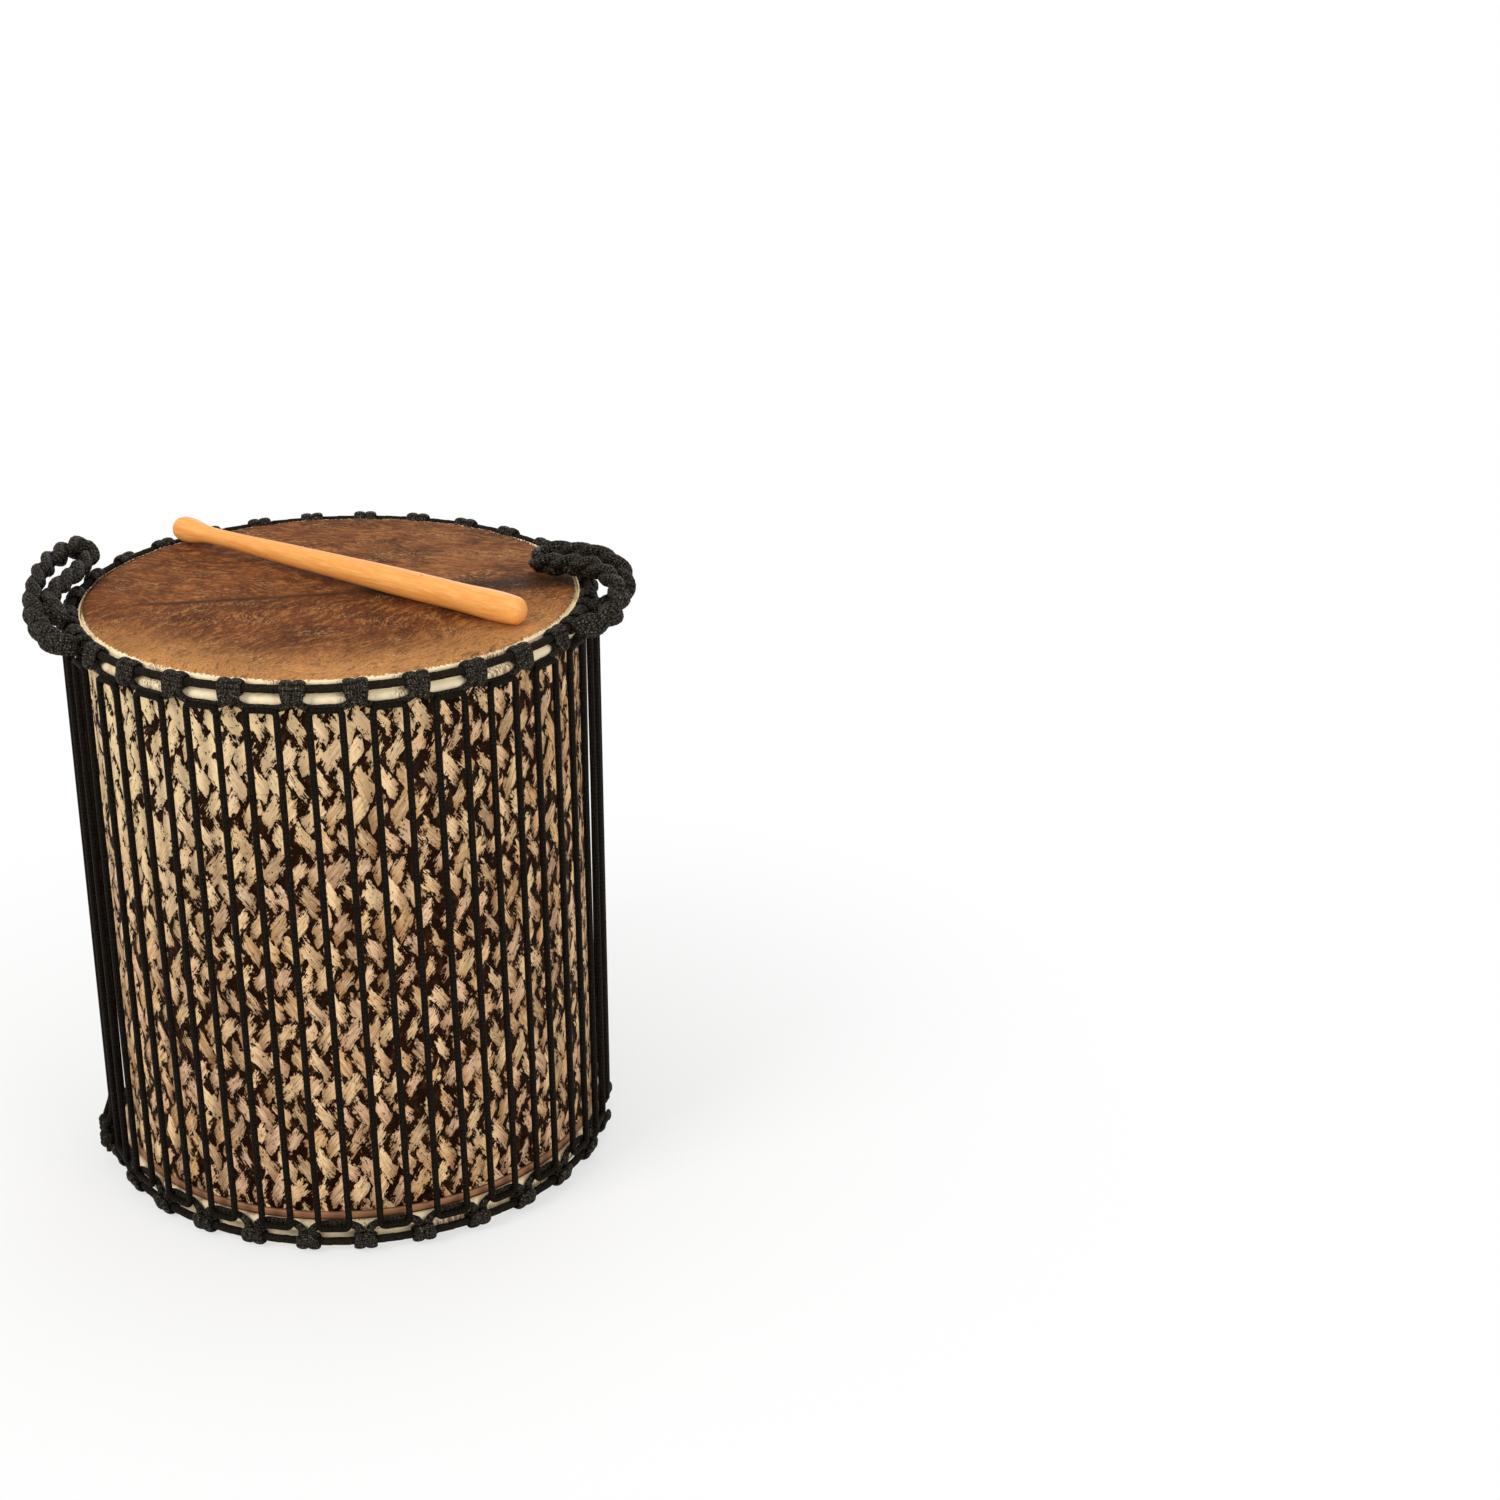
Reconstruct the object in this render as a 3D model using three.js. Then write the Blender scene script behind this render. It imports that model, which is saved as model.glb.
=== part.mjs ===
// Rope-tuned dunun: a two-headed cylinder drum with its beater and two rope handles.
// Millimetres, +Z up. The origin is on the drum's axis, at the face that it stands on.
// Angles of places round the drum are counted from -Y towards +X, in degrees.
import * as THREE from 'three';

// Drum
const drumHeight = 434;
const shellRadius = 174.6;
const shellWall = 8.6;
const bearingEdge = 4.4;
const hideThickness = 1;
const clearance = 0.3;
const runningGap = 0.4;
const endGap = 0.9;

// Hoops that hold the hides
const fleshRodRadius = 2.7;
const crownRodRadius = 2.9;
const topCrownDrop = 3.9;
const bottomCrownDrop = 8;
const topTailDrop = 1.4;
const bottomTailDrop = 5.4;

// Rope of the cradles and of the lacing
const ropeHalfWidth = 2.4;
const ropeHalfThickness = 2.1;
const turnHalfThickness = 1.6;
const turnHalfWidth = 3.5;
const hitchCount = 28;
const hitchSpread = 11.2;
const neckSpread = 6.2;
const topNeckDrop = 4.6;
const bottomNeckDrop = 3.2;
const topSwagOut = 3.9;
const topSwagDrop = 7.6;
const bottomSwagOut = 4.1;
const bottomSwagDrop = 6.1;
const topRunDrop = 2.4;
const bottomRunDrop = -0.5;
const barOut = 7.9;
const barDrop = 7;
const lacingOut = 4.9;
const verticalShare = 0.25;
const lowerTurn = 1.6;

// Plaited leaf sleeve and its cane hoop
const sleeveThickness = 2.4;
const sleeveTopGap = 3;
const caneThickness = 3.2;
const caneWidth = 5;

// Knots that end the lacing
const knotRadius = 6;
const knotLength = 15;
const knotPlace = 285;
const knotLevel = 20;
const knotStandOff = 5.5;

// Rope handles
const plaitRadius = 6.8;
const plaitSides = 8;
const plaitSteps = 34;
const eyeRopeRadius = 1.2;
const eyeTurns = 2;
const eyePitch = 3.5;
const handleUnit = 10;
const leftHandlePlace = 23;
const rightHandlePlace = 6;

// Beater
const stickLength = 338;
const stickRadius = 10;
const stickNeckRadius = 6.2;
const knobRadius = 9.4;
const knobLength = 31;
const stickNeckLength = 22;
const stickCentreX = 5;
const stickCentreY = 22.5;
const stickHeading = -35;
const stickWidestShare = 0.33;

// Counts of facets
const roundSegments = 2 * hitchCount;
const ropeSides = 5;
const rodSides = 5;
const stickSegments = 16;
const eyeSteps = 7;
const knotSides = 8;
const knotRings = 5;

// Places round a hoop's own section, in degrees: where a hide folds and where a hitch turns
const foldAngles = [210, 270, 330, 30, 90];
const turnAngles = [288, 216, 144, 72, 0];
const innerEaseShare = 0.9;

// Working values
const pitch = 360 / hitchCount;
const sideAngle = Math.PI / ropeSides;
const flatShare = Math.cos(sideAngle);
const foldShare = Math.cos(Math.PI / 6);

const hideInner = shellRadius + clearance;
const hideOuter = hideInner + hideThickness;
const tailInner = hideOuter + clearance;
const tailOuter = tailInner + hideThickness;
const fleshRingRadius = hideOuter + clearance + fleshRodRadius;
const foldInner = (fleshRodRadius + clearance) / foldShare;
const foldOuter = foldInner + hideThickness / foldShare;

const turnRadius = (crownRodRadius + clearance + turnHalfThickness * flatShare) / flatShare;
const turnReach = turnRadius * flatShare + turnHalfThickness;
const crownRingRadius = tailOuter + clearance + turnReach;
const lacingRadius = crownRingRadius + lacingOut;
const ringSpacing = turnReach + clearance + foldOuter;
const fleshBelowCrown = Math.sqrt(ringSpacing ** 2 - (crownRingRadius - fleshRingRadius) ** 2);
const knotRing = lacingRadius + knotStandOff;
const eyeBow = Math.sin(THREE.MathUtils.degToRad(pitch / 2)) * eyeTurns * eyePitch / 2;
const eyeRadius = crownRodRadius + eyeBow + runningGap + eyeRopeRadius;
const eyeReach = eyeRadius + eyeRopeRadius;
const neckRadius = fleshRingRadius + foldOuter * foldShare + clearance + ropeHalfThickness;

const hide = { roughness: 0.9, metalness: 0 };
const rope = { color: 0x1b1b1a, roughness: 0.75, metalness: 0 };

const group = new THREE.Group();

function addPiece(name, geometry, look) {
  const mesh = new THREE.Mesh(geometry, new THREE.MeshStandardMaterial(look));
  mesh.name = name;
  group.add(mesh);
  return mesh;
}

// A point at a place round the drum, a radius and a height
function placeAt(degrees, radius, height) {
  const angle = THREE.MathUtils.degToRad(degrees);
  return new THREE.Vector3(radius * Math.sin(angle), -radius * Math.cos(angle), height);
}

// A solid of revolution round Z from a profile of [radius, height] pairs that closes on itself
function turned(profile, segments) {
  const points = profile.map(([radius, height]) => new THREE.Vector2(radius, height));
  const area = THREE.ShapeUtils.area(points);
  const ordered = area > 0 ? points : points.reverse();
  const onAxis = ordered[0].x === 0 && ordered[ordered.length - 1].x === 0;
  if (!onAxis) ordered.push(ordered[0].clone());
  const geometry = new THREE.LatheGeometry(ordered, segments);
  geometry.rotateX(Math.PI / 2);
  return geometry;
}

// The corners of one cross-section of a rope, flattened along the outward direction
function ropeSection(centre, along, outward, halfOut, halfSide) {
  const forward = along.clone().normalize();
  const side = new THREE.Vector3().crossVectors(forward, outward).normalize();
  const out = new THREE.Vector3().crossVectors(side, forward);
  const corners = [];
  for (let k = 0; k < ropeSides; k += 1) {
    const angle = 2 * k * sideAngle;
    corners.push(centre.clone()
      .addScaledVector(out, halfOut * Math.cos(angle))
      .addScaledVector(side, halfSide * Math.sin(angle)));
  }
  return corners;
}

// A closed skin over a row of rope sections, either endless or with two flat ends
function skinnedRope(sections, endless) {
  const positions = sections.flat().flatMap((p) => [p.x, p.y, p.z]);
  const faces = [];
  const last = endless ? sections.length : sections.length - 1;
  for (let i = 0; i < last; i += 1) {
    const here = i * ropeSides;
    const next = ((i + 1) % sections.length) * ropeSides;
    for (let k = 0; k < ropeSides; k += 1) {
      const turn = (k + 1) % ropeSides;
      faces.push(here + k, here + turn, next + turn, here + k, next + turn, next + k);
    }
  }
  if (!endless) {
    const end = (sections.length - 1) * ropeSides;
    for (let k = 1; k < ropeSides - 1; k += 1) {
      faces.push(0, k + 1, k, end, end + k, end + k + 1);
    }
  }
  const geometry = new THREE.BufferGeometry();
  geometry.setAttribute('position', new THREE.Float32BufferAttribute(positions, 3));
  geometry.setIndex(faces);
  geometry.computeVertexNormals();
  return geometry;
}

// The two ends of the drum differ in where their hoops and ropes sit.
// A drop is a distance from the end's head towards the middle of the drum.
const topEnd = {
  height: (drop) => drumHeight - drop,
  up: 1,
  turn: 0,
  crownDrop: topCrownDrop,
  tailDrop: topTailDrop,
  neckDrop: topNeckDrop,
  swagOut: topSwagOut,
  swagDrop: topSwagDrop,
  runDrop: topRunDrop,
};
const bottomEnd = {
  height: (drop) => drop,
  up: -1,
  turn: pitch / 2 + lowerTurn,
  crownDrop: bottomCrownDrop,
  tailDrop: bottomTailDrop,
  neckDrop: bottomNeckDrop,
  swagOut: bottomSwagOut,
  swagDrop: bottomSwagDrop,
  runDrop: bottomRunDrop,
};
for (const end of [topEnd, bottomEnd]) {
  end.fleshDrop = end.crownDrop + fleshBelowCrown;
  end.swagRadius = fleshRingRadius + end.swagOut;
  end.swagLevel = end.fleshDrop + end.swagDrop;
  end.neckLevel = end.fleshDrop + end.neckDrop;
  end.runLevel = end.fleshDrop + end.runDrop;
}

// Wooden shell: an open tube with its bearing edges eased
function shellGeometry() {
  const inner = shellRadius - shellWall;
  const low = hideThickness + endGap;
  const high = drumHeight - low;
  const eased = shellRadius - bearingEdge;
  return turned([
    [inner, low], [eased, low], [shellRadius, low + bearingEdge],
    [shellRadius, high - bearingEdge], [eased, high], [inner, high],
  ], roundSegments);
}

// A hide: the head, its skirt, the fold round the flesh hoop and the trimmed tail
function hideGeometry(end) {
  const fold = (radius) => foldAngles.map((degrees) => {
    const angle = THREE.MathUtils.degToRad(degrees);
    return [fleshRingRadius + radius * Math.cos(angle), end.fleshDrop - radius * Math.sin(angle)];
  });
  const cornerOut = bearingEdge + hideThickness;
  const easedOut = hideOuter - cornerOut;
  const easedIn = hideInner - bearingEdge;
  const halfCorner = cornerOut * (1 - Math.SQRT1_2);
  const halfInner = bearingEdge * (1 - Math.SQRT1_2) * innerEaseShare;
  const foldTop = end.fleshDrop - foldOuter;
  const profile = [
    [0, 0],
    [easedOut, 0],
    [hideOuter - halfCorner, halfCorner],
    [hideOuter, cornerOut],
    ...fold(foldInner),
    [tailInner, foldTop],
    [tailInner, end.tailDrop],
    [tailOuter, end.tailDrop],
    [tailOuter, foldTop],
    ...fold(foldOuter).reverse(),
    [hideInner, cornerOut],
    [hideInner - halfInner, hideThickness + halfInner],
    [easedIn, hideThickness],
    [0, hideThickness],
  ];
  return turned(profile.map(([radius, drop]) => [radius, end.height(drop)]), roundSegments);
}

// A round rod bent into a hoop
function hoopGeometry(ringRadius, rodRadius, height) {
  const profile = [];
  for (let k = 0; k < rodSides; k += 1) {
    const angle = (2 * Math.PI * k) / rodSides;
    profile.push([ringRadius + rodRadius * Math.cos(angle), height + rodRadius * Math.sin(angle)]);
  }
  return turned(profile, roundSegments);
}

// A flat band round the shell
function bandGeometry(inner, thickness, low, high) {
  const outer = inner + thickness;
  return turned([[inner, low], [outer, low], [outer, high], [inner, high]], roundSegments);
}

// Half of a cow hitch: up behind the crown hoop and over it. It lists distance aside, radius, drop,
// the outward direction of the rope's flat side, and the rope's half thickness and width there.
function hitchHalf(end, sign) {
  const list = [[sign * neckSpread / 2, neckRadius, end.neckLevel, [-1, 0],
    ropeHalfThickness, ropeHalfWidth]];
  turnAngles.forEach((degrees, step) => {
    const angle = THREE.MathUtils.degToRad(degrees);
    const out = Math.cos(angle);
    const rise = Math.sin(angle);
    const aside = THREE.MathUtils.lerp(neckSpread, hitchSpread, Math.min(1, (step + 1) / 2)) / 2;
    list.push([sign * aside, crownRingRadius + turnRadius * out, end.crownDrop - turnRadius * rise,
      [out, rise], turnHalfThickness, turnHalfWidth]);
  });
  return list;
}

// The endless cradle rope: a cow hitch on the crown hoop at each pitch, and a swag between two
function cradle(end) {
  const bar = [0, crownRingRadius + barOut, end.crownDrop + barDrop, [1, 0],
    ropeHalfThickness, ropeHalfWidth];
  const swag = [0, end.swagRadius, end.swagLevel, [-1, 0], ropeHalfThickness, ropeHalfWidth];
  const hitch = [...hitchHalf(end, -1), bar, ...hitchHalf(end, 1).reverse()];
  const spots = [];
  const addSpots = (middle, list) => {
    for (const [aside, radius, drop, outward, halfOut, halfSide] of list) {
      const degrees = middle + THREE.MathUtils.radToDeg(aside / radius);
      spots.push({ degrees, radius, drop, outward, halfOut, halfSide });
    }
  };
  for (let k = 0; k < hitchCount; k += 1) {
    const middle = end.turn + k * pitch;
    addSpots(middle, hitch);
    addSpots(middle + pitch / 2, [swag]);
  }
  const centres = spots.map((spot) => placeAt(spot.degrees, spot.radius, end.height(spot.drop)));
  const sections = spots.map((spot, i) => {
    const before = centres[(i + centres.length - 1) % centres.length];
    const after = centres[(i + 1) % centres.length];
    const into = centres[i].clone().sub(before).normalize();
    const away = after.clone().sub(centres[i]).normalize();
    const [out, rise] = spot.outward;
    const outward = placeAt(spot.degrees, out, end.up * rise);
    return ropeSection(centres[i], into.add(away), outward, spot.halfOut, spot.halfSide);
  });
  return { sections, geometry: skinnedRope(sections, true) };
}

// The lacing: one rope that zigzags between the two cradles and hooks over their swags.
// Its two ends turn outwards to their knots, where one run at the bottom is left open.
function lacingSpots() {
  const quarter = verticalShare * pitch;
  const first = Math.round((knotPlace - bottomEnd.turn) / pitch);
  const topLevel = topEnd.height(topEnd.runLevel);
  const bottomLevel = bottomEnd.height(bottomEnd.runLevel);
  const spots = [];
  for (let k = first; k < first + hitchCount; k += 1) {
    const low = bottomEnd.turn + k * pitch;
    const high = topEnd.turn + k * pitch;
    spots.push([low - quarter, bottomLevel], [high + quarter, topLevel]);
    spots.push([high + pitch - quarter, topLevel], [low + quarter, bottomLevel]);
  }
  return spots;
}

function lacingCentres(spots) {
  const centres = spots.map(([degrees, height]) => placeAt(degrees, lacingRadius, height));
  const knotTop = knotLevel + knotLength / 2 + clearance;
  const starts = [spots[0], spots[spots.length - 1]].map(([degrees]) => [
    placeAt(degrees, knotRing, knotTop),
    placeAt(degrees, lacingRadius, knotTop + knotLength),
  ]);
  return [...starts[0], ...centres.slice(1, -1), ...starts[1].reverse()];
}

function lacingSections(centres) {
  return centres.map((centre, i) => {
    const before = centres[Math.max(i - 1, 0)];
    const after = centres[Math.min(i + 1, centres.length - 1)];
    const into = centre.clone().sub(before).normalize();
    const away = after.clone().sub(centre).normalize();
    const outward = new THREE.Vector3(centre.x, centre.y, 0).normalize();
    const corner = i > 0 && i < centres.length - 1 ? into.dot(away) : 1;
    const stretch = Math.sqrt(2 / (1 + Math.max(corner, 0)));
    return ropeSection(centre, into.add(away), outward, ropeHalfWidth, ropeHalfWidth * stretch);
  });
}

// A knot: a rounded lump that the rope's end runs into
function knotGeometry() {
  const geometry = new THREE.SphereGeometry(1, knotSides, knotRings);
  geometry.rotateX(Math.PI / 2);
  geometry.scale(knotRadius, knotRadius, knotLength / 2);
  return geometry;
}

// A handle's route: degrees round the drum from its middle, then shares of the handle unit
// outwards from the crown hoop and upwards. It starts and ends on the handle's two eyes.
const rootOut = (eyeReach + clearance) / handleUnit;
const leanOut = rootOut * Math.SQRT1_2;
const leftRoute = [
  [pitch / 2, rootOut, 0], [pitch / 2, 1.25, 0.08], [4.4, 1.8, 0.24], [0, 2.15, 0.45],
  [-7.7, 2.35, 0.95], [-17.7, 2.34, 1.65], [-28.7, 1.98, 2.22], [-35.2, 1.66, 2.28],
  [-39.6, 1.4, 2.12], [-41.4, 0.98, 1.84], [-39.8, 0.54, 1.58], [-36, 0.26, 1.5], [-26.7, 0.1, 1.58],
  [-18.7, 0.66, 1.58], [-12.7, 1.2, 1.34], [-8.6, 1.1, 0.98], [-pitch / 2, 0.74, 0.72],
  [-pitch / 2, leanOut, leanOut],
];
const rightRoute = [
  [-pitch / 2, rootOut, 0], [-pitch / 2, 1.25, 0.06], [-4.6, 2.16, 0.3], [-0.1, 2.76, 0.84],
  [5.9, 2.32, 1.65], [12.9, 0.86, 1.95], [19.5, -0.94, 1.7], [24.9, -2.3, 1.36], [29.8, -3.3, 1.14],
  [33.6, -2.2, 1.34], [28.6, -0.94, 1.75], [22.8, 0.56, 2.05], [17.3, 2.02, 1.74],
  [12.3, 2.68, 0.96], [8.5, 2.06, 0.3], [pitch / 2, 1.25, 0.06], [pitch / 2, rootOut, 0],
];

function handleCurve(middle, route) {
  const level = topEnd.height(topEnd.crownDrop);
  const points = route.map(([around, out, up]) => (
    placeAt(middle + around, crownRingRadius + out * handleUnit, level + up * handleUnit)));
  return new THREE.CatmullRomCurve3(points);
}

function handleGeometry(curve) {
  const corners = [];
  for (let k = 0; k < plaitSides; k += 1) {
    const angle = (2 * Math.PI * k) / plaitSides;
    corners.push(new THREE.Vector2(plaitRadius * Math.cos(angle), plaitRadius * Math.sin(angle)));
  }
  return new THREE.ExtrudeGeometry(new THREE.Shape(corners), {
    steps: plaitSteps, extrudePath: curve, bevelEnabled: false,
  });
}

// An eye: the plait's tail wound round the crown hoop, on the handle's own swing axis
function eyeCentres(middle, side) {
  const heading = placeAt(middle + 90, 1, 0);
  const root = placeAt(middle + side * pitch / 2, crownRingRadius, topEnd.height(topEnd.crownDrop));
  const out = placeAt(middle, 1, 0);
  const steps = eyeTurns * eyeSteps;
  const centres = [];
  for (let i = 0; i <= steps; i += 1) {
    const angle = (2 * Math.PI * i) / eyeSteps;
    centres.push(root.clone()
      .addScaledVector(heading, eyePitch * (i / eyeSteps - eyeTurns / 2))
      .addScaledVector(out, eyeRadius * Math.cos(angle))
      .add(new THREE.Vector3(0, 0, eyeRadius * Math.sin(angle))));
  }
  return { centres, root };
}

function eyeSections({ centres, root }) {
  return centres.map((centre, i) => {
    const before = centres[Math.max(i - 1, 0)];
    const after = centres[Math.min(i + 1, centres.length - 1)];
    const along = after.clone().sub(before);
    return ropeSection(centre, along, centre.clone().sub(root), eyeRopeRadius, eyeRopeRadius);
  });
}

// The beater: a turned stick with a domed butt, a waist and a knob
function stickGeometry() {
  const buttShares = [[0.55, 0.1], [0.86, 0.36], [1, 0.8]];
  const knobShares = [[0.88, 1], [0.97, 0.62], [1, 0.36], [0.86, 0.13], [0.52, 0.03]];
  const waist = stickLength - knobLength - stickNeckLength;
  const profile = [
    [0, 0],
    ...buttShares.map(([wide, along]) => [wide * stickRadius, along * stickRadius]),
    [stickRadius, stickLength * stickWidestShare],
    [stickNeckRadius, waist],
    ...knobShares.map(([wide, along]) => [wide * knobRadius, stickLength - along * knobLength]),
    [0, stickLength],
  ];
  return turned(profile, stickSegments);
}

// The least gap that a rope leaves to itself, measured between points on its skin.
// Points that lie next to each other on one bend don't count. Only the first share is set
// against the whole rope, because the rest repeats it.
function leastGap(sections, endless, share) {
  const between = 4;
  const nearRun = 4 * ropeHalfWidth;
  const bendShare = 1.6;
  const rims = [];
  const runs = [];
  let length = 0;
  const middleOf = (rim) => (
    rim.reduce((sum, p) => sum.add(p), new THREE.Vector3()).divideScalar(rim.length));
  const count = endless ? sections.length : sections.length - 1;
  for (let i = 0; i < count; i += 1) {
    const from = sections[i];
    const to = sections[(i + 1) % sections.length];
    const step = middleOf(from).distanceTo(middleOf(to));
    for (let j = 0; j < between; j += 1) {
      rims.push(from.map((p, k) => p.clone().lerp(to[k], j / between)));
      runs.push(length + step * j / between);
    }
    length += step;
  }
  const middles = rims.map(middleOf);
  let least = Infinity;
  for (let i = 0; i < rims.length * share; i += 1) {
    for (let j = i + 1; j < rims.length; j += 1) {
      const ahead = runs[j] - runs[i];
      const run = endless ? Math.min(ahead, length - ahead) : ahead;
      const apart = middles[i].distanceTo(middles[j]);
      const near = apart < least + 2 * turnHalfWidth;
      if (near && run > nearRun && run > bendShare * apart) {
        for (const p of rims[i]) for (const q of rims[j]) least = Math.min(least, p.distanceTo(q));
      }
    }
  }
  return least.toFixed(2);
}

const wood = { color: 0xe9a052, roughness: 0.45, metalness: 0 };
const ends = [['top', topEnd], ['bottom', bottomEnd]];

addPiece('shell', shellGeometry(), { color: 0x8a6038, roughness: 0.7, metalness: 0 });
for (const [name, end] of ends) {
  const fleshLevel = end.height(end.fleshDrop);
  const crownLevel = end.height(end.crownDrop);
  addPiece(`${name}_skin`, hideGeometry(end), { color: 0xa77b52, ...hide });
  addPiece(`${name}_flesh_ring`, hoopGeometry(fleshRingRadius, fleshRodRadius, fleshLevel),
    { color: 0x6b6b6b, roughness: 0.5, metalness: 0.8 });
  addPiece(`${name}_crown_ring`, hoopGeometry(crownRingRadius, crownRodRadius, crownLevel),
    { color: 0x141414, roughness: 0.8, metalness: 0 });
}

const caneLow = bottomEnd.height(bottomEnd.fleshDrop) + foldOuter + clearance;
const caneHigh = caneLow + caneWidth;
const sleeveHigh = topEnd.height(topEnd.fleshDrop) - foldOuter - sleeveTopGap;
addPiece('base_hoop', bandGeometry(hideInner, caneThickness, caneLow, caneHigh),
  { color: 0xb08060, roughness: 0.6, metalness: 0 });
addPiece('woven_sleeve', bandGeometry(hideInner, sleeveThickness, caneHigh + clearance, sleeveHigh),
  { color: 0xc9a878, roughness: 0.8, metalness: 0 });

for (const [name, end] of ends) {
  const { sections, geometry } = cradle(end);
  addPiece(`${name}_cradle_rope`, geometry, rope);
  console.log(`${name}_cradle_rope least gap`, leastGap(sections, true, 2 / hitchCount));
}

const lacing = lacingCentres(lacingSpots());
const lacingSkin = lacingSections(lacing);
addPiece('lacing_rope', skinnedRope(lacingSkin, false), rope);
console.log('lacing_rope least gap', leastGap(lacingSkin, false, 1));
[['start', 0], ['end', lacing.length - 1]].forEach(([name, i]) => {
  const knot = addPiece(`lacing_knot_${name}`, knotGeometry(), rope);
  knot.position.set(lacing[i].x, lacing[i].y, knotLevel);
});

const handles = [['left', leftHandlePlace, leftRoute], ['right', rightHandlePlace, rightRoute]];
for (const [name, hitch, route] of handles) {
  const middle = hitch * pitch;
  addPiece(`handle_${name}`, handleGeometry(handleCurve(middle, route)), rope);
  const front = Math.sign(route[0][0]);
  for (const [which, side] of [['front', front], ['rear', -front]]) {
    const sections = eyeSections(eyeCentres(middle, side));
    const eyeName = `handle_${name}_eye_${which}`;
    addPiece(eyeName, skinnedRope(sections, false), rope);
    console.log(`${eyeName} least gap`, leastGap(sections, false, 1));
  }
}

const stick = addPiece('stick', stickGeometry(), wood);
stick.geometry.translate(0, 0, -stickLength / 2);
stick.rotation.set(0, -Math.PI / 2, THREE.MathUtils.degToRad(stickHeading), 'ZYX');
stick.position.set(stickCentreX, stickCentreY, drumHeight + clearance + stickRadius);

export default group;
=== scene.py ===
# %% [markdown]
# # A rope-tuned dunun
# A dunun is a two-headed cylinder drum. Hide is stretched over both ends of a wooden shell,
# held by steel hoops, and pulled tight by one long rope that zigzags between the heads.
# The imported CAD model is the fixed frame: its solids have the right sizes and places, and
# this lesson dresses them. The frame is in metres, with the drum's axis on Z. Shapes are
# worked out in millimetres here, and turn into metres when they become meshes.

import bpy
import numpy as np
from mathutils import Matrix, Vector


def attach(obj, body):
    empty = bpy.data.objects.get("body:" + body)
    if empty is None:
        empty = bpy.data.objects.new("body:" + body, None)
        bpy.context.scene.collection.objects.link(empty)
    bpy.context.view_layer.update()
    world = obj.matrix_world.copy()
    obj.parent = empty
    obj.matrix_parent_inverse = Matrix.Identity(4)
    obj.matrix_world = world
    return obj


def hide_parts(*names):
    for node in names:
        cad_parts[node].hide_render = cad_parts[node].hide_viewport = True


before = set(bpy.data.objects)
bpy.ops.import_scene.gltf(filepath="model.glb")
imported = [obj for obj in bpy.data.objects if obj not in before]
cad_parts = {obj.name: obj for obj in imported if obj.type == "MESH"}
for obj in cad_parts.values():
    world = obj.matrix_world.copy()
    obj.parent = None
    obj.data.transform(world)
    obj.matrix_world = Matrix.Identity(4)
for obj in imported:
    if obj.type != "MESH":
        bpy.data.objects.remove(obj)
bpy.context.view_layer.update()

# %% [markdown]
# ## The camera
# A long lens stands well back and looks down on the drum by about 22 degrees, so that the
# head shows as an ellipse and the lacing runs nearly straight down. The drum stands left of
# the picture's centre, which shows a little more of its right side.

# %% Place the camera
CAMERA_PLACE = (0.29939, -1.82748, 1.06671)
CAMERA_PITCH = 22.4597
SENSOR = 36
FOCAL_SHARE = 1.797567

camera_data = bpy.data.cameras.new("camera")
camera_data.sensor_width = SENSOR
camera_data.lens = SENSOR * FOCAL_SHARE
camera = bpy.data.objects.new("camera", camera_data)
camera.location = CAMERA_PLACE
camera.rotation_euler = (np.radians(90 - CAMERA_PITCH), 0, 0)
bpy.context.scene.collection.objects.link(camera)
bpy.context.scene.camera = camera
bpy.context.scene.view_settings.view_transform = "Standard"
print("lens", round(camera_data.lens, 1), "mm, looking down by", CAMERA_PITCH, "degrees")

# %% [markdown]
# ## Shader maths as plain expressions
# A material is a graph of nodes. Wired by hand it is hard to read, so a small class wraps one
# socket and lets a mask be written as a sum, such as `1 - mask * 0.5`. Each operator adds one
# Math node. Every node comes from one function, which sets the node up first and then fills
# its sockets with numbers or links.

# %% A socket that can be used in sums
def fill(socket, value):
    """Put a number, a colour or another node's signal into a socket."""
    if isinstance(value, Signal):
        socket.id_data.links.new(value.socket, socket)
    else:
        socket.default_value = value


def add_node(tree, kind, settings, inputs):
    node = tree.nodes.new(kind)
    for name, value in settings.items():
        setattr(node, name, value)
    for name, value in inputs.items():
        fill(node.inputs[name], value)
    return node


class Signal:
    """What comes out of one socket, ready to be used in a sum."""

    def __init__(self, socket):
        self.socket = socket

    def maths(self, operation, *values):
        settings, inputs = {"operation": operation}, dict(enumerate(values))
        node = add_node(self.socket.id_data, "ShaderNodeMath", settings, inputs)
        return Signal(node.outputs[0])

    def __add__(self, other):
        return self.maths("ADD", self, other)

    def __sub__(self, other):
        return self.maths("SUBTRACT", self, other)

    def __rsub__(self, other):
        return self.maths("SUBTRACT", other, self)

    def __mul__(self, other):
        return self.maths("MULTIPLY", self, other)

    def __abs__(self):
        return self.maths("ABSOLUTE", self)

    __radd__ = __add__
    __rmul__ = __mul__

    def sine(self):
        return self.maths("SINE", self)

    def fraction(self):
        return self.maths("FRACT", self)

    def or_more(self, other):
        return self.maths("MAXIMUM", self, other)

    def above(self, low, high):
        """0 below low, 1 above high, and a smooth step between them."""
        settings = {"interpolation_type": "SMOOTHSTEP"}
        inputs = {"Value": self, "From Min": low, "From Max": high}
        node = add_node(self.socket.id_data, "ShaderNodeMapRange", settings, inputs)
        return Signal(node.outputs["Result"])


# %% [markdown]
# A finish is one material. Its class keeps the node tree and the main shader together, and
# has a short method for each thing that the drum's surfaces ask for: where a point is, the
# marks that the mesh carries, soft noise, a blend of two colours, and a bump.

# %% A finish: one material and its nodes
MARK_NAME = "lay"


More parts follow.
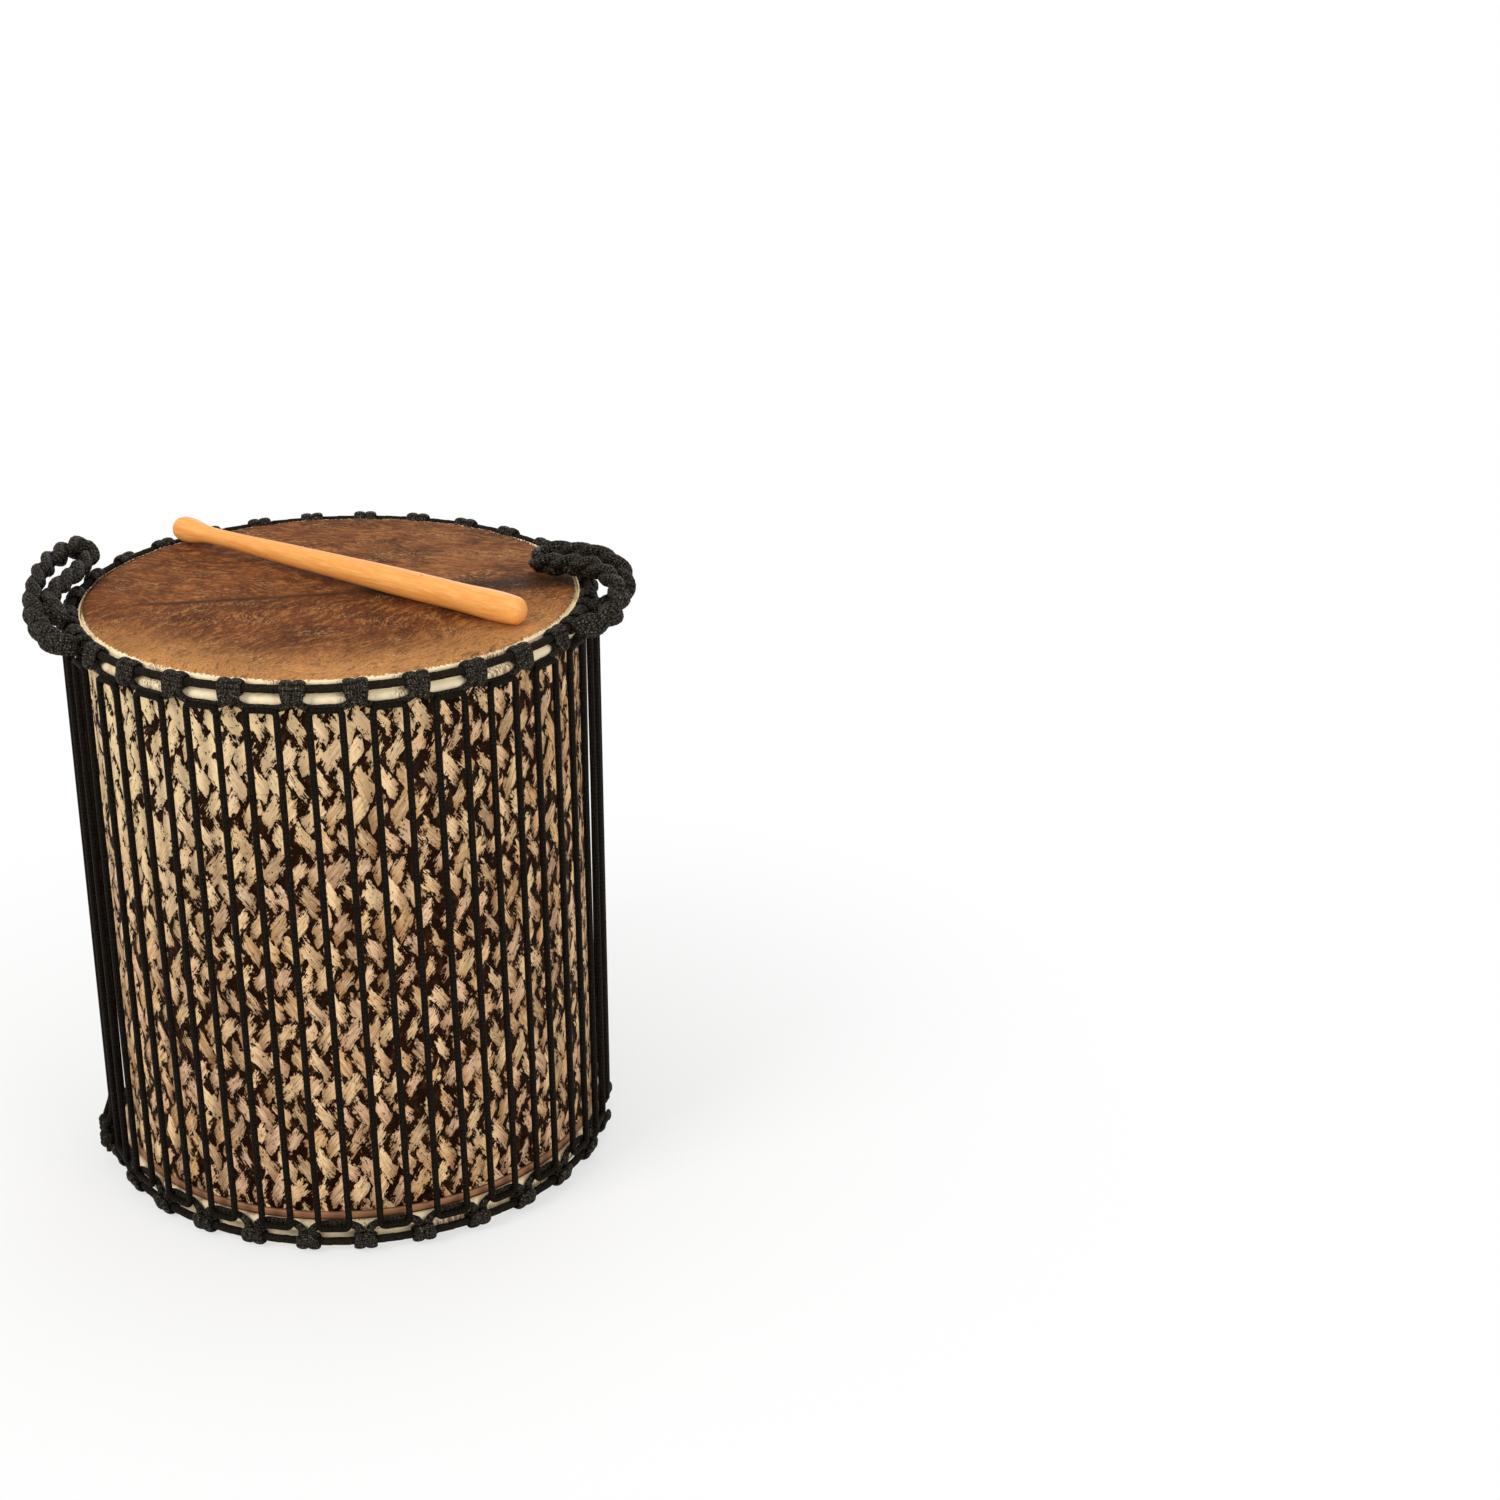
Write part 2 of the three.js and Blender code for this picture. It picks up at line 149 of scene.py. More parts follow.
class Finish:
    def __init__(self, name, **constants):
        self.material = bpy.data.materials.new(name)
        self.material.use_nodes = True
        self.tree = self.material.node_tree
        self.shader = self.tree.nodes["Principled BSDF"]
        self.give(**constants)
        print("finish", name)

    def give(self, **values):
        """Fill the main shader's sockets; Base_Color stands for Base Color."""
        for name, value in values.items():
            fill(self.shader.inputs[name.replace("_", " ")], value)

    def node(self, kind, settings, inputs, output=0):
        return Signal(add_node(self.tree, kind, settings, inputs).outputs[output])

    def place(self):
        """Where a point is on the piece, in metres."""
        return self.node("ShaderNodeTexCoord", {}, {}, "Object")

    def split(self, vector):
        """The three numbers in a vector."""
        node = add_node(self.tree, "ShaderNodeSeparateXYZ", {}, {0: vector})
        return [Signal(output) for output in node.outputs]

    def joined(self, x, y, z):
        return self.node("ShaderNodeCombineXYZ", {}, {0: x, 1: y, 2: z})

    def length(self, vector):
        return self.node("ShaderNodeVectorMath", {"operation": "LENGTH"}, {0: vector}, "Value")

    def marks(self):
        """The three numbers that the mesh carries on its faces' corners."""
        settings = {"attribute_name": MARK_NAME}
        return self.split(self.node("ShaderNodeAttribute", settings, {}, "Vector"))

    def noise(self, vector, stretch=(1, 1, 1), scale=1, detail=2, roughness=0.5, distortion=0):
        """Soft noise from 0 to 1; stretch is how fine it is in each direction."""
        multiply = {"operation": "MULTIPLY"}
        stretched = self.node("ShaderNodeVectorMath", multiply, {0: vector, 1: stretch})
        inputs = {"Vector": stretched, "Scale": scale, "Detail": detail,
                  "Roughness": roughness, "Distortion": distortion}
        return self.node("ShaderNodeTexNoise", {}, inputs)

    def blend(self, mask, first, second):
        """first where the mask is 0 and second where it is 1, as colours."""
        settings = {"data_type": "RGBA"}
        return self.node("ShaderNodeMix", settings, {0: mask, 6: first, 7: second}, 2)

    def bump(self, height, distance, strength=1.0):
        inputs = {"Height": height, "Distance": distance, "Strength": strength}
        self.give(Normal=self.node("ShaderNodeBump", {}, inputs))


def colour(red, green, blue):
    """A colour as it is read off a screen, from 0 to 255, in the light values of the renderer."""
    shares = np.array([red, green, blue]) / 255
    linear = np.where(shares <= 0.04045, shares / 12.92, ((shares + 0.055) / 1.055) ** 2.4)
    return (*linear.tolist(), 1.0)


# %% [markdown]
# ## Mesh helpers
# The drum is round, so most of its parts are easiest to give as a place round the drum, a
# radius and a height. Nothing that is bent by hand is a true ring, so a few sine waves of
# whole counts give a ring a wander that meets itself again after one turn.

# %% Places round the drum
MM = 0.001


def drum_point(degrees, radius, height):
    """Points in millimetres. Degrees count from the front, -Y, towards +X."""
    angle = np.radians(np.asarray(degrees, float))
    radius, height = np.broadcast_arrays(np.asarray(radius, float), np.asarray(height, float))
    x, y, z = np.broadcast_arrays(radius * np.sin(angle), -radius * np.cos(angle), height)
    return np.stack([x, y, z], axis=-1)


def waves(angle, counts, seed):
    """A smooth wander round a ring: a few sine waves of whole counts, about -1 to 1."""
    phases = np.random.default_rng(seed).uniform(0, 2 * np.pi, len(counts))
    total = sum(np.sin(count * angle + phase) for count, phase in zip(counts, phases))
    return total / np.sqrt(len(counts))


print("at the front, at radius 175 and height 200:", drum_point(0, 175, 200))

# %% [markdown]
# Blender's own curves and modifiers could sweep a rope or turn a profile. A mesh that is
# built from a grid of points does the same in a few lines, and it lets each corner of a face
# carry three numbers, its marks. A finish can read them, for example as how far along and how
# far round the rope a point lies.

# %% Meshes with marks on their corners
class Shape:
    """Points in millimetres, faces, and a mark of three numbers for each corner of each face."""

    def __init__(self, points, faces, marks):
        self.points = np.asarray(points, float)
        self.faces = faces
        self.marks = np.asarray(marks, float)


def merged(shapes):
    points, faces, marks, start = [], [], [], 0
    for shape in shapes:
        points.append(shape.points)
        faces.extend([tuple(start + v for v in face) for face in shape.faces])
        marks.append(shape.marks)
        start += len(shape.points)
    return Shape(np.concatenate(points), faces, np.concatenate(marks))


def grid_shape(points, marks, wrap_rows=False, wrap_columns=False):
    """A skin over rows of points. marks has one more row or column where the skin wraps."""
    rows, columns = points.shape[:2]
    row = np.arange(rows if wrap_rows else rows - 1)
    column = np.arange(columns if wrap_columns else columns - 1)
    r, c = [a.ravel() for a in np.meshgrid(row, column, indexing="ij")]
    r_next, c_next = (r + 1) % rows, (c + 1) % columns
    corners = [(r, c), (r, c_next), (r_next, c_next), (r_next, c)]
    faces = np.stack([a * columns + b for a, b in corners], axis=-1)
    mark_corners = [(r, c), (r, c + 1), (r + 1, c + 1), (r + 1, c)]
    corner_marks = np.stack([marks[a, b] for a, b in mark_corners], axis=1)
    return Shape(points.reshape(-1, 3), faces.tolist(), corner_marks.reshape(-1, 3))


def add_piece(name, shape, finish, body, replaces):
    mesh = bpy.data.meshes.new(name)
    mesh.from_pydata(shape.points * MM, [], shape.faces)
    mark = mesh.attributes.new(MARK_NAME, "FLOAT_VECTOR", "CORNER")
    mark.data.foreach_set("vector", shape.marks.ravel())
    mesh.polygons.foreach_set("use_smooth", [True] * len(mesh.polygons))
    mesh.materials.append(finish.material)
    mesh.update()
    piece = bpy.data.objects.new(name, mesh)
    bpy.context.scene.collection.objects.link(piece)
    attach(piece, body)
    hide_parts(*replaces)
    print(name, len(mesh.polygons), "faces")


# %% [markdown]
# A rope's route is given as a few places. A slack rope runs through them as one smooth line.
# A taut rope runs straight from place to place and only rounds its corners.

# %% Smooth paths
CORNER_SHARE, CORNER_POINTS = 0.45, 6


def smooth_path(points, step, closed):
    """A smooth line through points, sampled about every step millimetres. Columns after the
    third, such as the rope's width at each point, are carried along as smoothly."""
    points = np.asarray(points, float)
    count = len(points)
    after = np.roll(points, -1, axis=0)
    length = np.linalg.norm((after - points)[:, :3], axis=1)
    slope = (after - points) / length[:, None]
    before = np.roll(slope, 1, axis=0)
    before_length = np.roll(length, 1)
    share = (before_length / (before_length + length))[:, None]
    tangent = before * (1 - share) + slope * share
    if not closed:
        tangent[0], tangent[-1] = slope[0], slope[-2]
    samples = []
    for i in range(count if closed else count - 1):
        j = (i + 1) % count
        parts = max(1, int(np.ceil(length[i] / step)))
        t = (np.arange(parts) / parts)[:, None]
        samples.append((2 * t ** 3 - 3 * t ** 2 + 1) * points[i]
                       + (3 * t ** 2 - 2 * t ** 3) * points[j]
                       + (t ** 3 - 2 * t ** 2 + t) * length[i] * tangent[i]
                       + (t ** 3 - t ** 2) * length[i] * tangent[j])
    if not closed:
        samples.append(points[-1:])
    return np.concatenate(samples)


def rounded_path(points, radius, step):
    """Straight runs between points, with each corner rounded, sampled about every step."""
    points = np.asarray(points, float)
    path = [points[:1]]
    for i in range(1, len(points) - 1):
        into = points[i] - points[i - 1]
        away = points[i + 1] - points[i]
        into_length, away_length = np.linalg.norm(into), np.linalg.norm(away)
        into, away = into / into_length, away / away_length
        cut = min(radius, into_length * CORNER_SHARE, away_length * CORNER_SHARE)
        start, end = points[i] - into * cut, points[i] + away * cut
        t = np.linspace(0, 1, CORNER_POINTS)[:, None]
        path.append((1 - t) ** 2 * start + 2 * t * (1 - t) * points[i] + t ** 2 * end)
    path.append(points[-1:])
    path = np.concatenate(path)
    samples = []
    for a, b in zip(path[:-1], path[1:]):
        parts = max(1, int(round(np.linalg.norm(b - a) / step)))
        samples.append(a + (b - a) * (np.arange(parts) / parts)[:, None])
    return np.concatenate([*samples, path[-1:]])


def path_length(path):
    return np.linalg.norm(np.diff(path, axis=0), axis=1).sum()


quarter = drum_point(np.arange(91), 175, 0)
print("a quarter of the way round the drum", round(path_length(quarter), 1), "mm")

# %% [markdown]
# To sweep a section along a path, each point of the path needs two directions across it. On
# a free rope they turn as little as they can, so the rope doesn't twist. A rope that wraps a
# hoop lies with its flat side against the hoop, so there its angle round the hoop gives them.

# %% Directions across a path
def heading_along(path, closed):
    along = np.roll(path, -1, axis=0) - np.roll(path, 1, axis=0)
    if not closed:
        along[0], along[-1] = path[1] - path[0], path[-1] - path[-2]
    return along / np.linalg.norm(along, axis=1)[:, None]


def steady_frames(path):
    """Two directions across an open path at each point, which turn as little as they can."""
    along = heading_along(path, closed=False)
    first = np.cross(along[0], (0, 0, 1.0))
    if np.linalg.norm(first) < 0.1:
        first = np.cross(along[0], (1.0, 0, 0))
    out = [first / np.linalg.norm(first)]
    for i in range(1, len(path)):
        turned = out[-1] - along[i] * np.dot(out[-1], along[i])
        out.append(turned / np.linalg.norm(turned))
    out = np.array(out)
    return out, np.cross(along, out)


def wrap_frames(path, turn, up):
    """The same for a rope that wraps a hoop. turn is the angle round the hoop's own rod, from
    0 where the rope's flat side faces outwards to 90 where it faces up."""
    along = heading_along(path, closed=True)
    radial = path * (1, 1, 0)
    radial = radial / np.linalg.norm(radial, axis=1)[:, None]
    turn = np.radians(turn)[:, None]
    out = np.cos(turn) * radial + np.sin(turn) * np.array([0, 0, up])
    out = out - along * np.sum(out * along, axis=1)[:, None]
    out = out / np.linalg.norm(out, axis=1)[:, None]
    return out, np.cross(along, out)


# %% [markdown]
# The drum's rope is a braid. Two sets of strands wind round it, one to the left and one to
# the right, and where they cross they rise and sink. Two crossed sine waves, added to the
# tube's own radius, give these low diamonds. A lay is the length in which a strand goes
# round once.

# %% A rope along a path
BRAID_LAY = 6.6
BRAID_STRANDS = 6


def rope(path, thick, wide=None, frames=None, sides=12, closed=False, relief=0.0):
    """A rope along a path, thick and wide being half its thickness and half its width.
    Its marks are the share of the way round and the number of lays along."""
    out, side = frames or steady_frames(path)
    gaps = np.linalg.norm(np.roll(path, -1, axis=0) - path, axis=1)
    lays = np.concatenate([[0], np.cumsum(gaps)]) / BRAID_LAY
    if closed:
        lays *= round(lays[-1]) / lays[-1]
    rows = len(path)
    lays = lays[:rows + 1] if closed else lays[:rows]
    around = np.arange(sides + 1) / sides
    marks = np.zeros((len(lays), sides + 1, 3))
    marks[..., 0], marks[..., 1] = around[None, :], lays[:, None]
    turn = 2 * np.pi * around[:-1]
    left = np.sin(2 * np.pi * (BRAID_STRANDS * around[None, :-1] + lays[:rows, None]))
    right = np.sin(2 * np.pi * (BRAID_STRANDS * around[None, :-1] - lays[:rows, None]))
    braid = relief * left * right
    thick = np.broadcast_to(thick, rows)[:, None]
    wide = thick if wide is None else np.broadcast_to(wide, rows)[:, None]
    outward = ((thick + braid) * np.cos(turn))[..., None] * out[:, None]
    sideways = ((wide + braid) * np.sin(turn))[..., None] * side[:, None]
    points = path[:, None] + outward + sideways
    shape = grid_shape(points, marks, wrap_rows=closed, wrap_columns=True)
    if closed:
        return shape
    caps = [tuple(range(sides - 1, -1, -1)), tuple(range((rows - 1) * sides, rows * sides))]
    cap_marks = np.tile([0.5, 0.0, 0.0], (2 * sides, 1))
    return Shape(shape.points, shape.faces + caps, np.concatenate([shape.marks, cap_marks]))


print("the braid repeats every", BRAID_LAY, "mm, with", BRAID_STRANDS, "strands each way")

# %% [markdown]
# ## The stage
# The drum stands on a plain pale floor. Away from the drum the floor turns plain white, but
# only to the camera, so the white adds no light of its own, and the floor near the drum still
# takes its soft shadow.

# %% The floor
FLOOR_HALF, FLOOR_DROP = 6.0, 0.0005
WHITE_NEAR = 0.62
WHITE_FROM, WHITE_TO = 0.2, 0.7

floor_shade = Finish("pale_floor", Base_Color=colour(246, 246, 245), Roughness=0.9)
seen = floor_shade.node("ShaderNodeLightPath", {}, {}, "Is Camera Ray")
floor_x, floor_y, _ = floor_shade.split(floor_shade.place())
away = floor_shade.length(floor_shade.joined(floor_x, floor_y, 0.0))
white_share = seen * (WHITE_NEAR + away.above(WHITE_FROM, WHITE_TO) * (1 - WHITE_NEAR))
plain = Signal(floor_shade.shader.outputs[0])
glow = floor_shade.node("ShaderNodeEmission", {}, {"Color": (1, 1, 1, 1), "Strength": 1.0})
mixed = floor_shade.node("ShaderNodeMixShader", {}, {0: white_share, 1: plain, 2: glow})
fill(floor_shade.tree.nodes["Material Output"].inputs["Surface"], mixed)

floor_corners = np.array([(-1, -1, 0), (1, -1, 0), (1, 1, 0), (-1, 1, 0)])
floor_mesh = bpy.data.meshes.new("floor")
floor_mesh.from_pydata(floor_corners * FLOOR_HALF, [], [(0, 1, 2, 3)])
floor_mesh.materials.append(floor_shade.material)
floor = bpy.data.objects.new("floor", floor_mesh)
floor.location.z = -FLOOR_DROP
bpy.context.scene.collection.objects.link(floor)
print("floor", 2 * FLOOR_HALF, "m wide")

# %% [markdown]
# The world behind the floor is plain white too, to the camera and in reflections. A room that
# bright would leave the drum no shading, so what the world gives as light is much weaker.

# %% The world
AMBIENT = 0.43

world = bpy.data.worlds.new("studio")
bpy.context.scene.world = world
world.use_nodes = True
rays = add_node(world.node_tree, "ShaderNodeLightPath", {}, {})
camera_ray, glossy_ray, through_ray = [
    Signal(rays.outputs[name])
    for name in ("Is Camera Ray", "Is Glossy Ray", "Is Transmission Ray")
]
direct = camera_ray.or_more(glossy_ray).or_more(through_ray)
background = world.node_tree.nodes["Background"]
fill(background.inputs["Color"], (1, 1, 1, 1))
fill(background.inputs["Strength"], AMBIENT + direct * (1 - AMBIENT))
print("the world lights the drum with strength", AMBIENT)

# %% [markdown]
# Large square lamps give soft shadows. The key lamp at the front left is the strongest, so
# the drum's left side is a little brighter than its right side. The lamps above and behind
# keep the head and the far side from going dull.

# %% Lamps
LAMP_AIM = (0, 0, 0.25)


def add_lamp(name, place, size, power):
    data = bpy.data.lights.new(name, "AREA")
    data.shape = "SQUARE"
    data.size = size
    data.energy = power
    lamp = bpy.data.objects.new(name, data)
    lamp.location = place
    aim = Vector(LAMP_AIM) - Vector(place)
    lamp.rotation_euler = aim.to_track_quat("-Z", "Y").to_euler()
    bpy.context.scene.collection.objects.link(lamp)
    print(name, "lamp,", power, "W")


add_lamp("key", (-1.6, -1.7, 1.9), 1.2, 40)
add_lamp("fill", (1.9, -2.0, 0.9), 1.6, 30)
add_lamp("top", (0.1, 0.3, 2.4), 1.4, 11)
add_lamp("back", (0.6, 2.4, 1.3), 1.6, 14)

# %% [markdown]
# ## Shell and steel hoops
# The shell is a plain wooden tube and the flesh hoops are steel rods that the hides fold
# round. Almost nothing of them shows, so the CAD solids stay. They still get real finishes,
# because the part may be looked into when it is taken apart.

# %% Finishes for the shell and the flesh hoops
shell_wood = Finish("shell_wood", Roughness=0.75)
shell_grain = shell_wood.noise(shell_wood.place(), (60, 60, 3), detail=6, roughness=0.6)
shell_colour = shell_wood.blend(shell_grain, colour(120, 80, 46), colour(176, 128, 82))
shell_wood.give(Base_Color=shell_colour)
shell_wood.bump(shell_grain, 0.0004)

hoop_steel = Finish("hoop_steel", Metallic=0.9)
hoop_wear = hoop_steel.noise(hoop_steel.place(), (400, 400, 400), detail=4)
hoop_colour = hoop_steel.blend(hoop_wear, colour(120, 118, 115), colour(176, 174, 170))
hoop_steel.give(Base_Color=hoop_colour, Roughness=0.35 + hoop_wear * 0.25)

for node_name, finish in (("shell", shell_wood), ("top_flesh_ring", hoop_steel),
                          ("bottom_flesh_ring", hoop_steel)):
    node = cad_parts[node_name]
    node.data.materials.clear()
    node.data.materials.append(finish.material)

# %% [markdown]
# ## The hides
# Each hide is wet rawhide with its short brown hair left on. It covers the head, turns over
# the edge of the shell, folds round the flesh hoop and comes up again inside the outer hoop,
# where it is trimmed with a knife. Both ends of the drum are built alike, so one small class
# holds what differs between them. A drop is how far a thing lies from its own head's plane.

# %% Sizes of the two ends, as in the CAD model
DRUM_HEIGHT = 434
HIDE_THICKNESS = 1.0
HIDE_INNER, HIDE_OUTER = 174.9, 175.9
TAIL_INNER, TAIL_OUTER = 176.2, 177.2
EDGE_ROUND = 5.4
FLESH_RING = 178.9
FOLD_INNER, FOLD_OUTER = 3.0, 4.15
CROWN_RING = 183.594
CROWN_ROD = 2.9
HITCHES = 28
PITCH = 360 / HITCHES


class DrumEnd:
    def __init__(self, name, up, turn, crown_drop, flesh_drop, tail_drop, swag_drop, neck_drop):
        self.name, self.up, self.turn = name, up, turn
        self.crown_drop, self.flesh_drop, self.tail_drop = crown_drop, flesh_drop, tail_drop
        self.swag_drop, self.neck_drop = swag_drop, neck_drop

    def height(self, drop):
        return DRUM_HEIGHT - drop if self.up > 0 else drop


TOP = DrumEnd("top", up=1, turn=0, crown_drop=3.9, flesh_drop=13.863,
              tail_drop=1.4, swag_drop=17.7, neck_drop=13.2)
BOTTOM = DrumEnd("bottom", up=-1, turn=PITCH / 2 + 1.6, crown_drop=8.0, flesh_drop=17.963,
                 tail_drop=5.4, swag_drop=22.6, neck_drop=18.6)
print(HITCHES, "hitches on each hoop, one every", round(PITCH, 2), "degrees")

# %% [markdown]
# A hide is one closed sheet of its real thickness, so a single profile is turned round the
# axis. Then the fold is puckered and the trimmed edge is roughened point by point. A flat
# disc with a picture on it would have no fold to show through the gaps between the hitches.

# %% The profile of a hide and its turned mesh
AROUND = 1008
HEAD_RADII = (0.01, 20, 45, 70, 95, 120, 140, 155, 164)
INNER_RADII = (120, 60, 0.01)
TAIL_ROWS = 6
TRIM_FINE, TRIM_COARSE, TRIM_LOWER = 0.28, 0.3, 0.15
PUCKER, PUCKER_FINE = 0.22, 0.1


def hide_profile(end):
    """Rows of radius, drop and a mark: 0 on the haired head, 1 on the bare fold and tail."""
    centre = HIDE_OUTER - EDGE_ROUND
    rows = [(radius, 0, 0) for radius in (*HEAD_RADII, centre)]
    bend = np.radians(np.arange(15, 91, 15))
    rows += [(centre + EDGE_ROUND * np.sin(a), EDGE_ROUND * (1 - np.cos(a)), 1) for a in bend]
    fold = np.radians(np.arange(195, 451, 15))

    def fold_rows(radius, angles):
        return [(FLESH_RING + radius * np.cos(a), end.flesh_drop - radius * np.sin(a), 1)
                for a in angles]

    rows += fold_rows(FOLD_INNER, fold)
    tail = np.linspace(end.flesh_drop - FOLD_OUTER, end.tail_drop, TAIL_ROWS)
    rows += [(TAIL_INNER, drop, 1) for drop in tail]
    rows += [(TAIL_OUTER, drop, 1) for drop in tail[::-1]]
    rows += fold_rows(FOLD_OUTER, fold[::-1])
    rows += [(HIDE_INNER, EDGE_ROUND, 1)]
    reach = EDGE_ROUND - HIDE_THICKNESS
    inner = HIDE_INNER - reach
    rows += [(inner + reach * np.sin(a), EDGE_ROUND - reach * np.cos(a), 1)
             for a in bend[::-1][1:]]
    rows += [(radius, HIDE_THICKNESS, 0) for radius in (inner, *INNER_RADII)]
    return np.array(rows)


def hide_shape(end, seed):
    profile = hide_profile(end)
    rest_radius, rest_drop, bareness = profile.T
    degrees = np.arange(AROUND) * 360 / AROUND
    angle = np.radians(degrees)
    radius, drop = [np.repeat(profile[:, k:k + 1], AROUND, axis=1) for k in (0, 1)]
    fine = waves(angle, (180, 236, 304, 372, 430, 486), seed)
    coarse = waves(angle, (11, 17, 29, 41), seed + 1)
    pucker = waves(angle, (84, 97, 131, 163), seed + 2)
    at_edge = np.isin(rest_radius, (TAIL_INNER, TAIL_OUTER)) & (rest_drop < end.tail_drop + 0.1)
    drop[at_edge] += TRIM_FINE * fine + TRIM_COARSE * coarse + TRIM_LOWER
    out_of_fold = np.clip((rest_radius - FLESH_RING) / FOLD_OUTER, 0, 1) * (rest_drop > EDGE_ROUND)
    radius += out_of_fold[:, None] * (PUCKER * pucker + PUCKER_FINE * fine)
    points = drum_point(degrees[None, :], radius, end.height(drop))
    marks = np.zeros((len(profile), AROUND + 1, 3))
    marks[..., 0] = bareness[:, None]
    shape = grid_shape(points, marks, wrap_columns=True)
    if end.up < 0:
        shape.faces = [face[::-1] for face in shape.faces]
    rows = len(profile)
    first, last = tuple(range(AROUND)), tuple(range((rows - 1) * AROUND, rows * AROUND))
    caps = [first[::-1], last] if end.up > 0 else [first, last[::-1]]
    marks = np.concatenate([shape.marks, np.zeros((2 * AROUND, 3))])
    return Shape(shape.points, shape.faces + caps, marks)


print("a hide's profile has", len(hide_profile(TOP)), "points")

# %% [markdown]
# The hair is short and fine and falls away from the animal's back, which crosses the head as
# a dark line. Its colour and its bump are streaks: noise that is stretched along the hair, in
# one direction before that line and in another behind it. The hair is warm brown, paler and
# golden towards the front edge, and it ends in a ragged line at the bare, cream rawhide. A
# full hair system would take far longer to render and would not survive export.

# %% The finish of a hide
SPINE_SLOPE, SPINE_PLACE = 0.17, -0.0055
HAIR_END = (0.1735, 0.1743)


def hide_finish(name, seed):
    finish = Finish(name, Roughness=0.7, Specular_IOR_Level=0.06)
    place = finish.place()
    x, y, _ = finish.split(place)
    wander = finish.noise(place, (14, 14, 14), detail=2)
    bend = (wander - 0.5) * 0.05

    def hair(across, along, seed):
        combed = finish.joined(across + bend, along, seed)
        fine = finish.noise(combed, (800, 220, 1), detail=5, roughness=0.8)
        lock = finish.noise(combed, (210, 62, 1), detail=3, roughness=0.65)
        return fine, lock

    # The hair lies 30 degrees off Y before the spine line, and 15 degrees off X behind it.
    before = hair(x * 0.87 - y * 0.5, x * 0.5 + y * 0.87, seed)
    beyond = hair(x * 0.26 + y * 0.97, x * 0.97 - y * 0.26, seed + 5)
    ridge = y - SPINE_PLACE - x * SPINE_SLOPE + (wander - 0.5) * 0.012
    behind = ridge.above(-0.004, 0.012)
    fine, lock = [a * (1 - behind) + b * behind for a, b in zip(before, beyond)]

    cloud = finish.noise(place, (24, 24, 24), detail=4, roughness=0.6)
    warm = finish.blend(cloud.above(0.34, 0.62), colour(80, 38, 17), colour(118, 64, 31))
    cool = finish.blend(cloud.above(0.36, 0.62), colour(86, 44, 21), colour(142, 87, 48))
    brown = finish.blend(behind * (0.25 + x.above(-0.06, 0.06) * 0.75), warm, cool)
    radius = finish.length(finish.joined(x, y, 0.0))
    golden = radius.above(0.1, 0.17) * (x * 0.2 - y).above(0.0, 0.13) * (0.45 + cloud)
    brown = finish.blend(golden * 0.78, brown, colour(218, 153, 90))
    brown = finish.blend(lock.above(0.5, 0.64) * 0.5, brown, colour(188, 124, 66))
    brown = finish.blend((1 - lock.above(0.34, 0.48)) * 0.55, brown, colour(68, 36, 18))

    # The spine is a thin line that becomes a broad dark patch at the right.
    line = (1 - abs(ridge).above(0.001, 0.005)) * x.above(-0.155, -0.11) * fine.above(0.32, 0.56)
    patch = (1 - abs(ridge).above(0.004, 0.024)) * x.above(-0.03, 0.05)
    spine = line.or_more(patch) * (0.6 + lock * 0.8)
    brown = finish.blend(spine, brown, colour(44, 24, 15))
    frost = finish.noise(place, (30, 42, 30), detail=2).above(0.48, 0.66)
    tips = finish.blend(frost.or_more(golden), colour(200, 138, 78), colour(232, 186, 126))
    brown = finish.blend(fine.above(0.5, 0.66) * (0.42 + frost * 0.35), brown, tips)
    brown = finish.blend((1 - fine.above(0.34, 0.5)) * 0.7, brown, colour(62, 32, 16))

    bare = finish.marks()[0]
    ragged = finish.noise(place, (520, 520, 520), detail=3)
    hair_reach = (y - x * 0.4).above(0.0, 0.09) * 0.003
    edge = (radius + (ragged - 0.5) * 0.004 - hair_reach).above(*HAIR_END)
    skin = finish.noise(place, (130, 130, 60), detail=4, roughness=0.6)
    cream = finish.blend(skin.above(0.5, 0.76), colour(255, 236, 196), colour(250, 208, 162))
    tuft = finish.noise(place, (40, 40, 20), detail=2).above(0.5, 0.62)
    tuft = tuft * finish.noise(place, (800, 800, 170), detail=2).above(0.45, 0.6)
    cream = finish.blend(tuft * bare * 0.8, cream, colour(140, 94, 56))
    finish.give(Base_Color=finish.blend(edge, brown, cream))
    fur_height = fine * 0.7 + lock * 0.5
    finish.bump(fur_height * (1 - edge) + skin * edge * 0.4, 0.0011, 0.9)
    return finish


for end, seed in ((TOP, 3), (BOTTOM, 8)):
    name = f"{end.name}_hide"
    shape = hide_shape(end, seed)
    add_piece(name, shape, hide_finish(name, seed), "drum", [f"{end.name}_skin"])

# %% [markdown]
# ## The crown hoops
# The outer hoop that pulls each hide down is a steel rod wound with a strip of black cloth.
# The strip laps over itself at every turn, which leaves a low slanting step. A ring with that
# step in its radius shows the winding as real shape.

# %% Cloth-wound crown hoops
RING_STEPS, RING_SIDES = 1400, 16
RING_RUN, ROD_RUN = 1150, 14
CLOTH_TURNS = 92
CLOTH_LAP, CLOTH_SUNK = 0.25, 0.1
LAP_RISE, LAP_END = 1.15, 0.94
THREAD_COUNT = 5.2


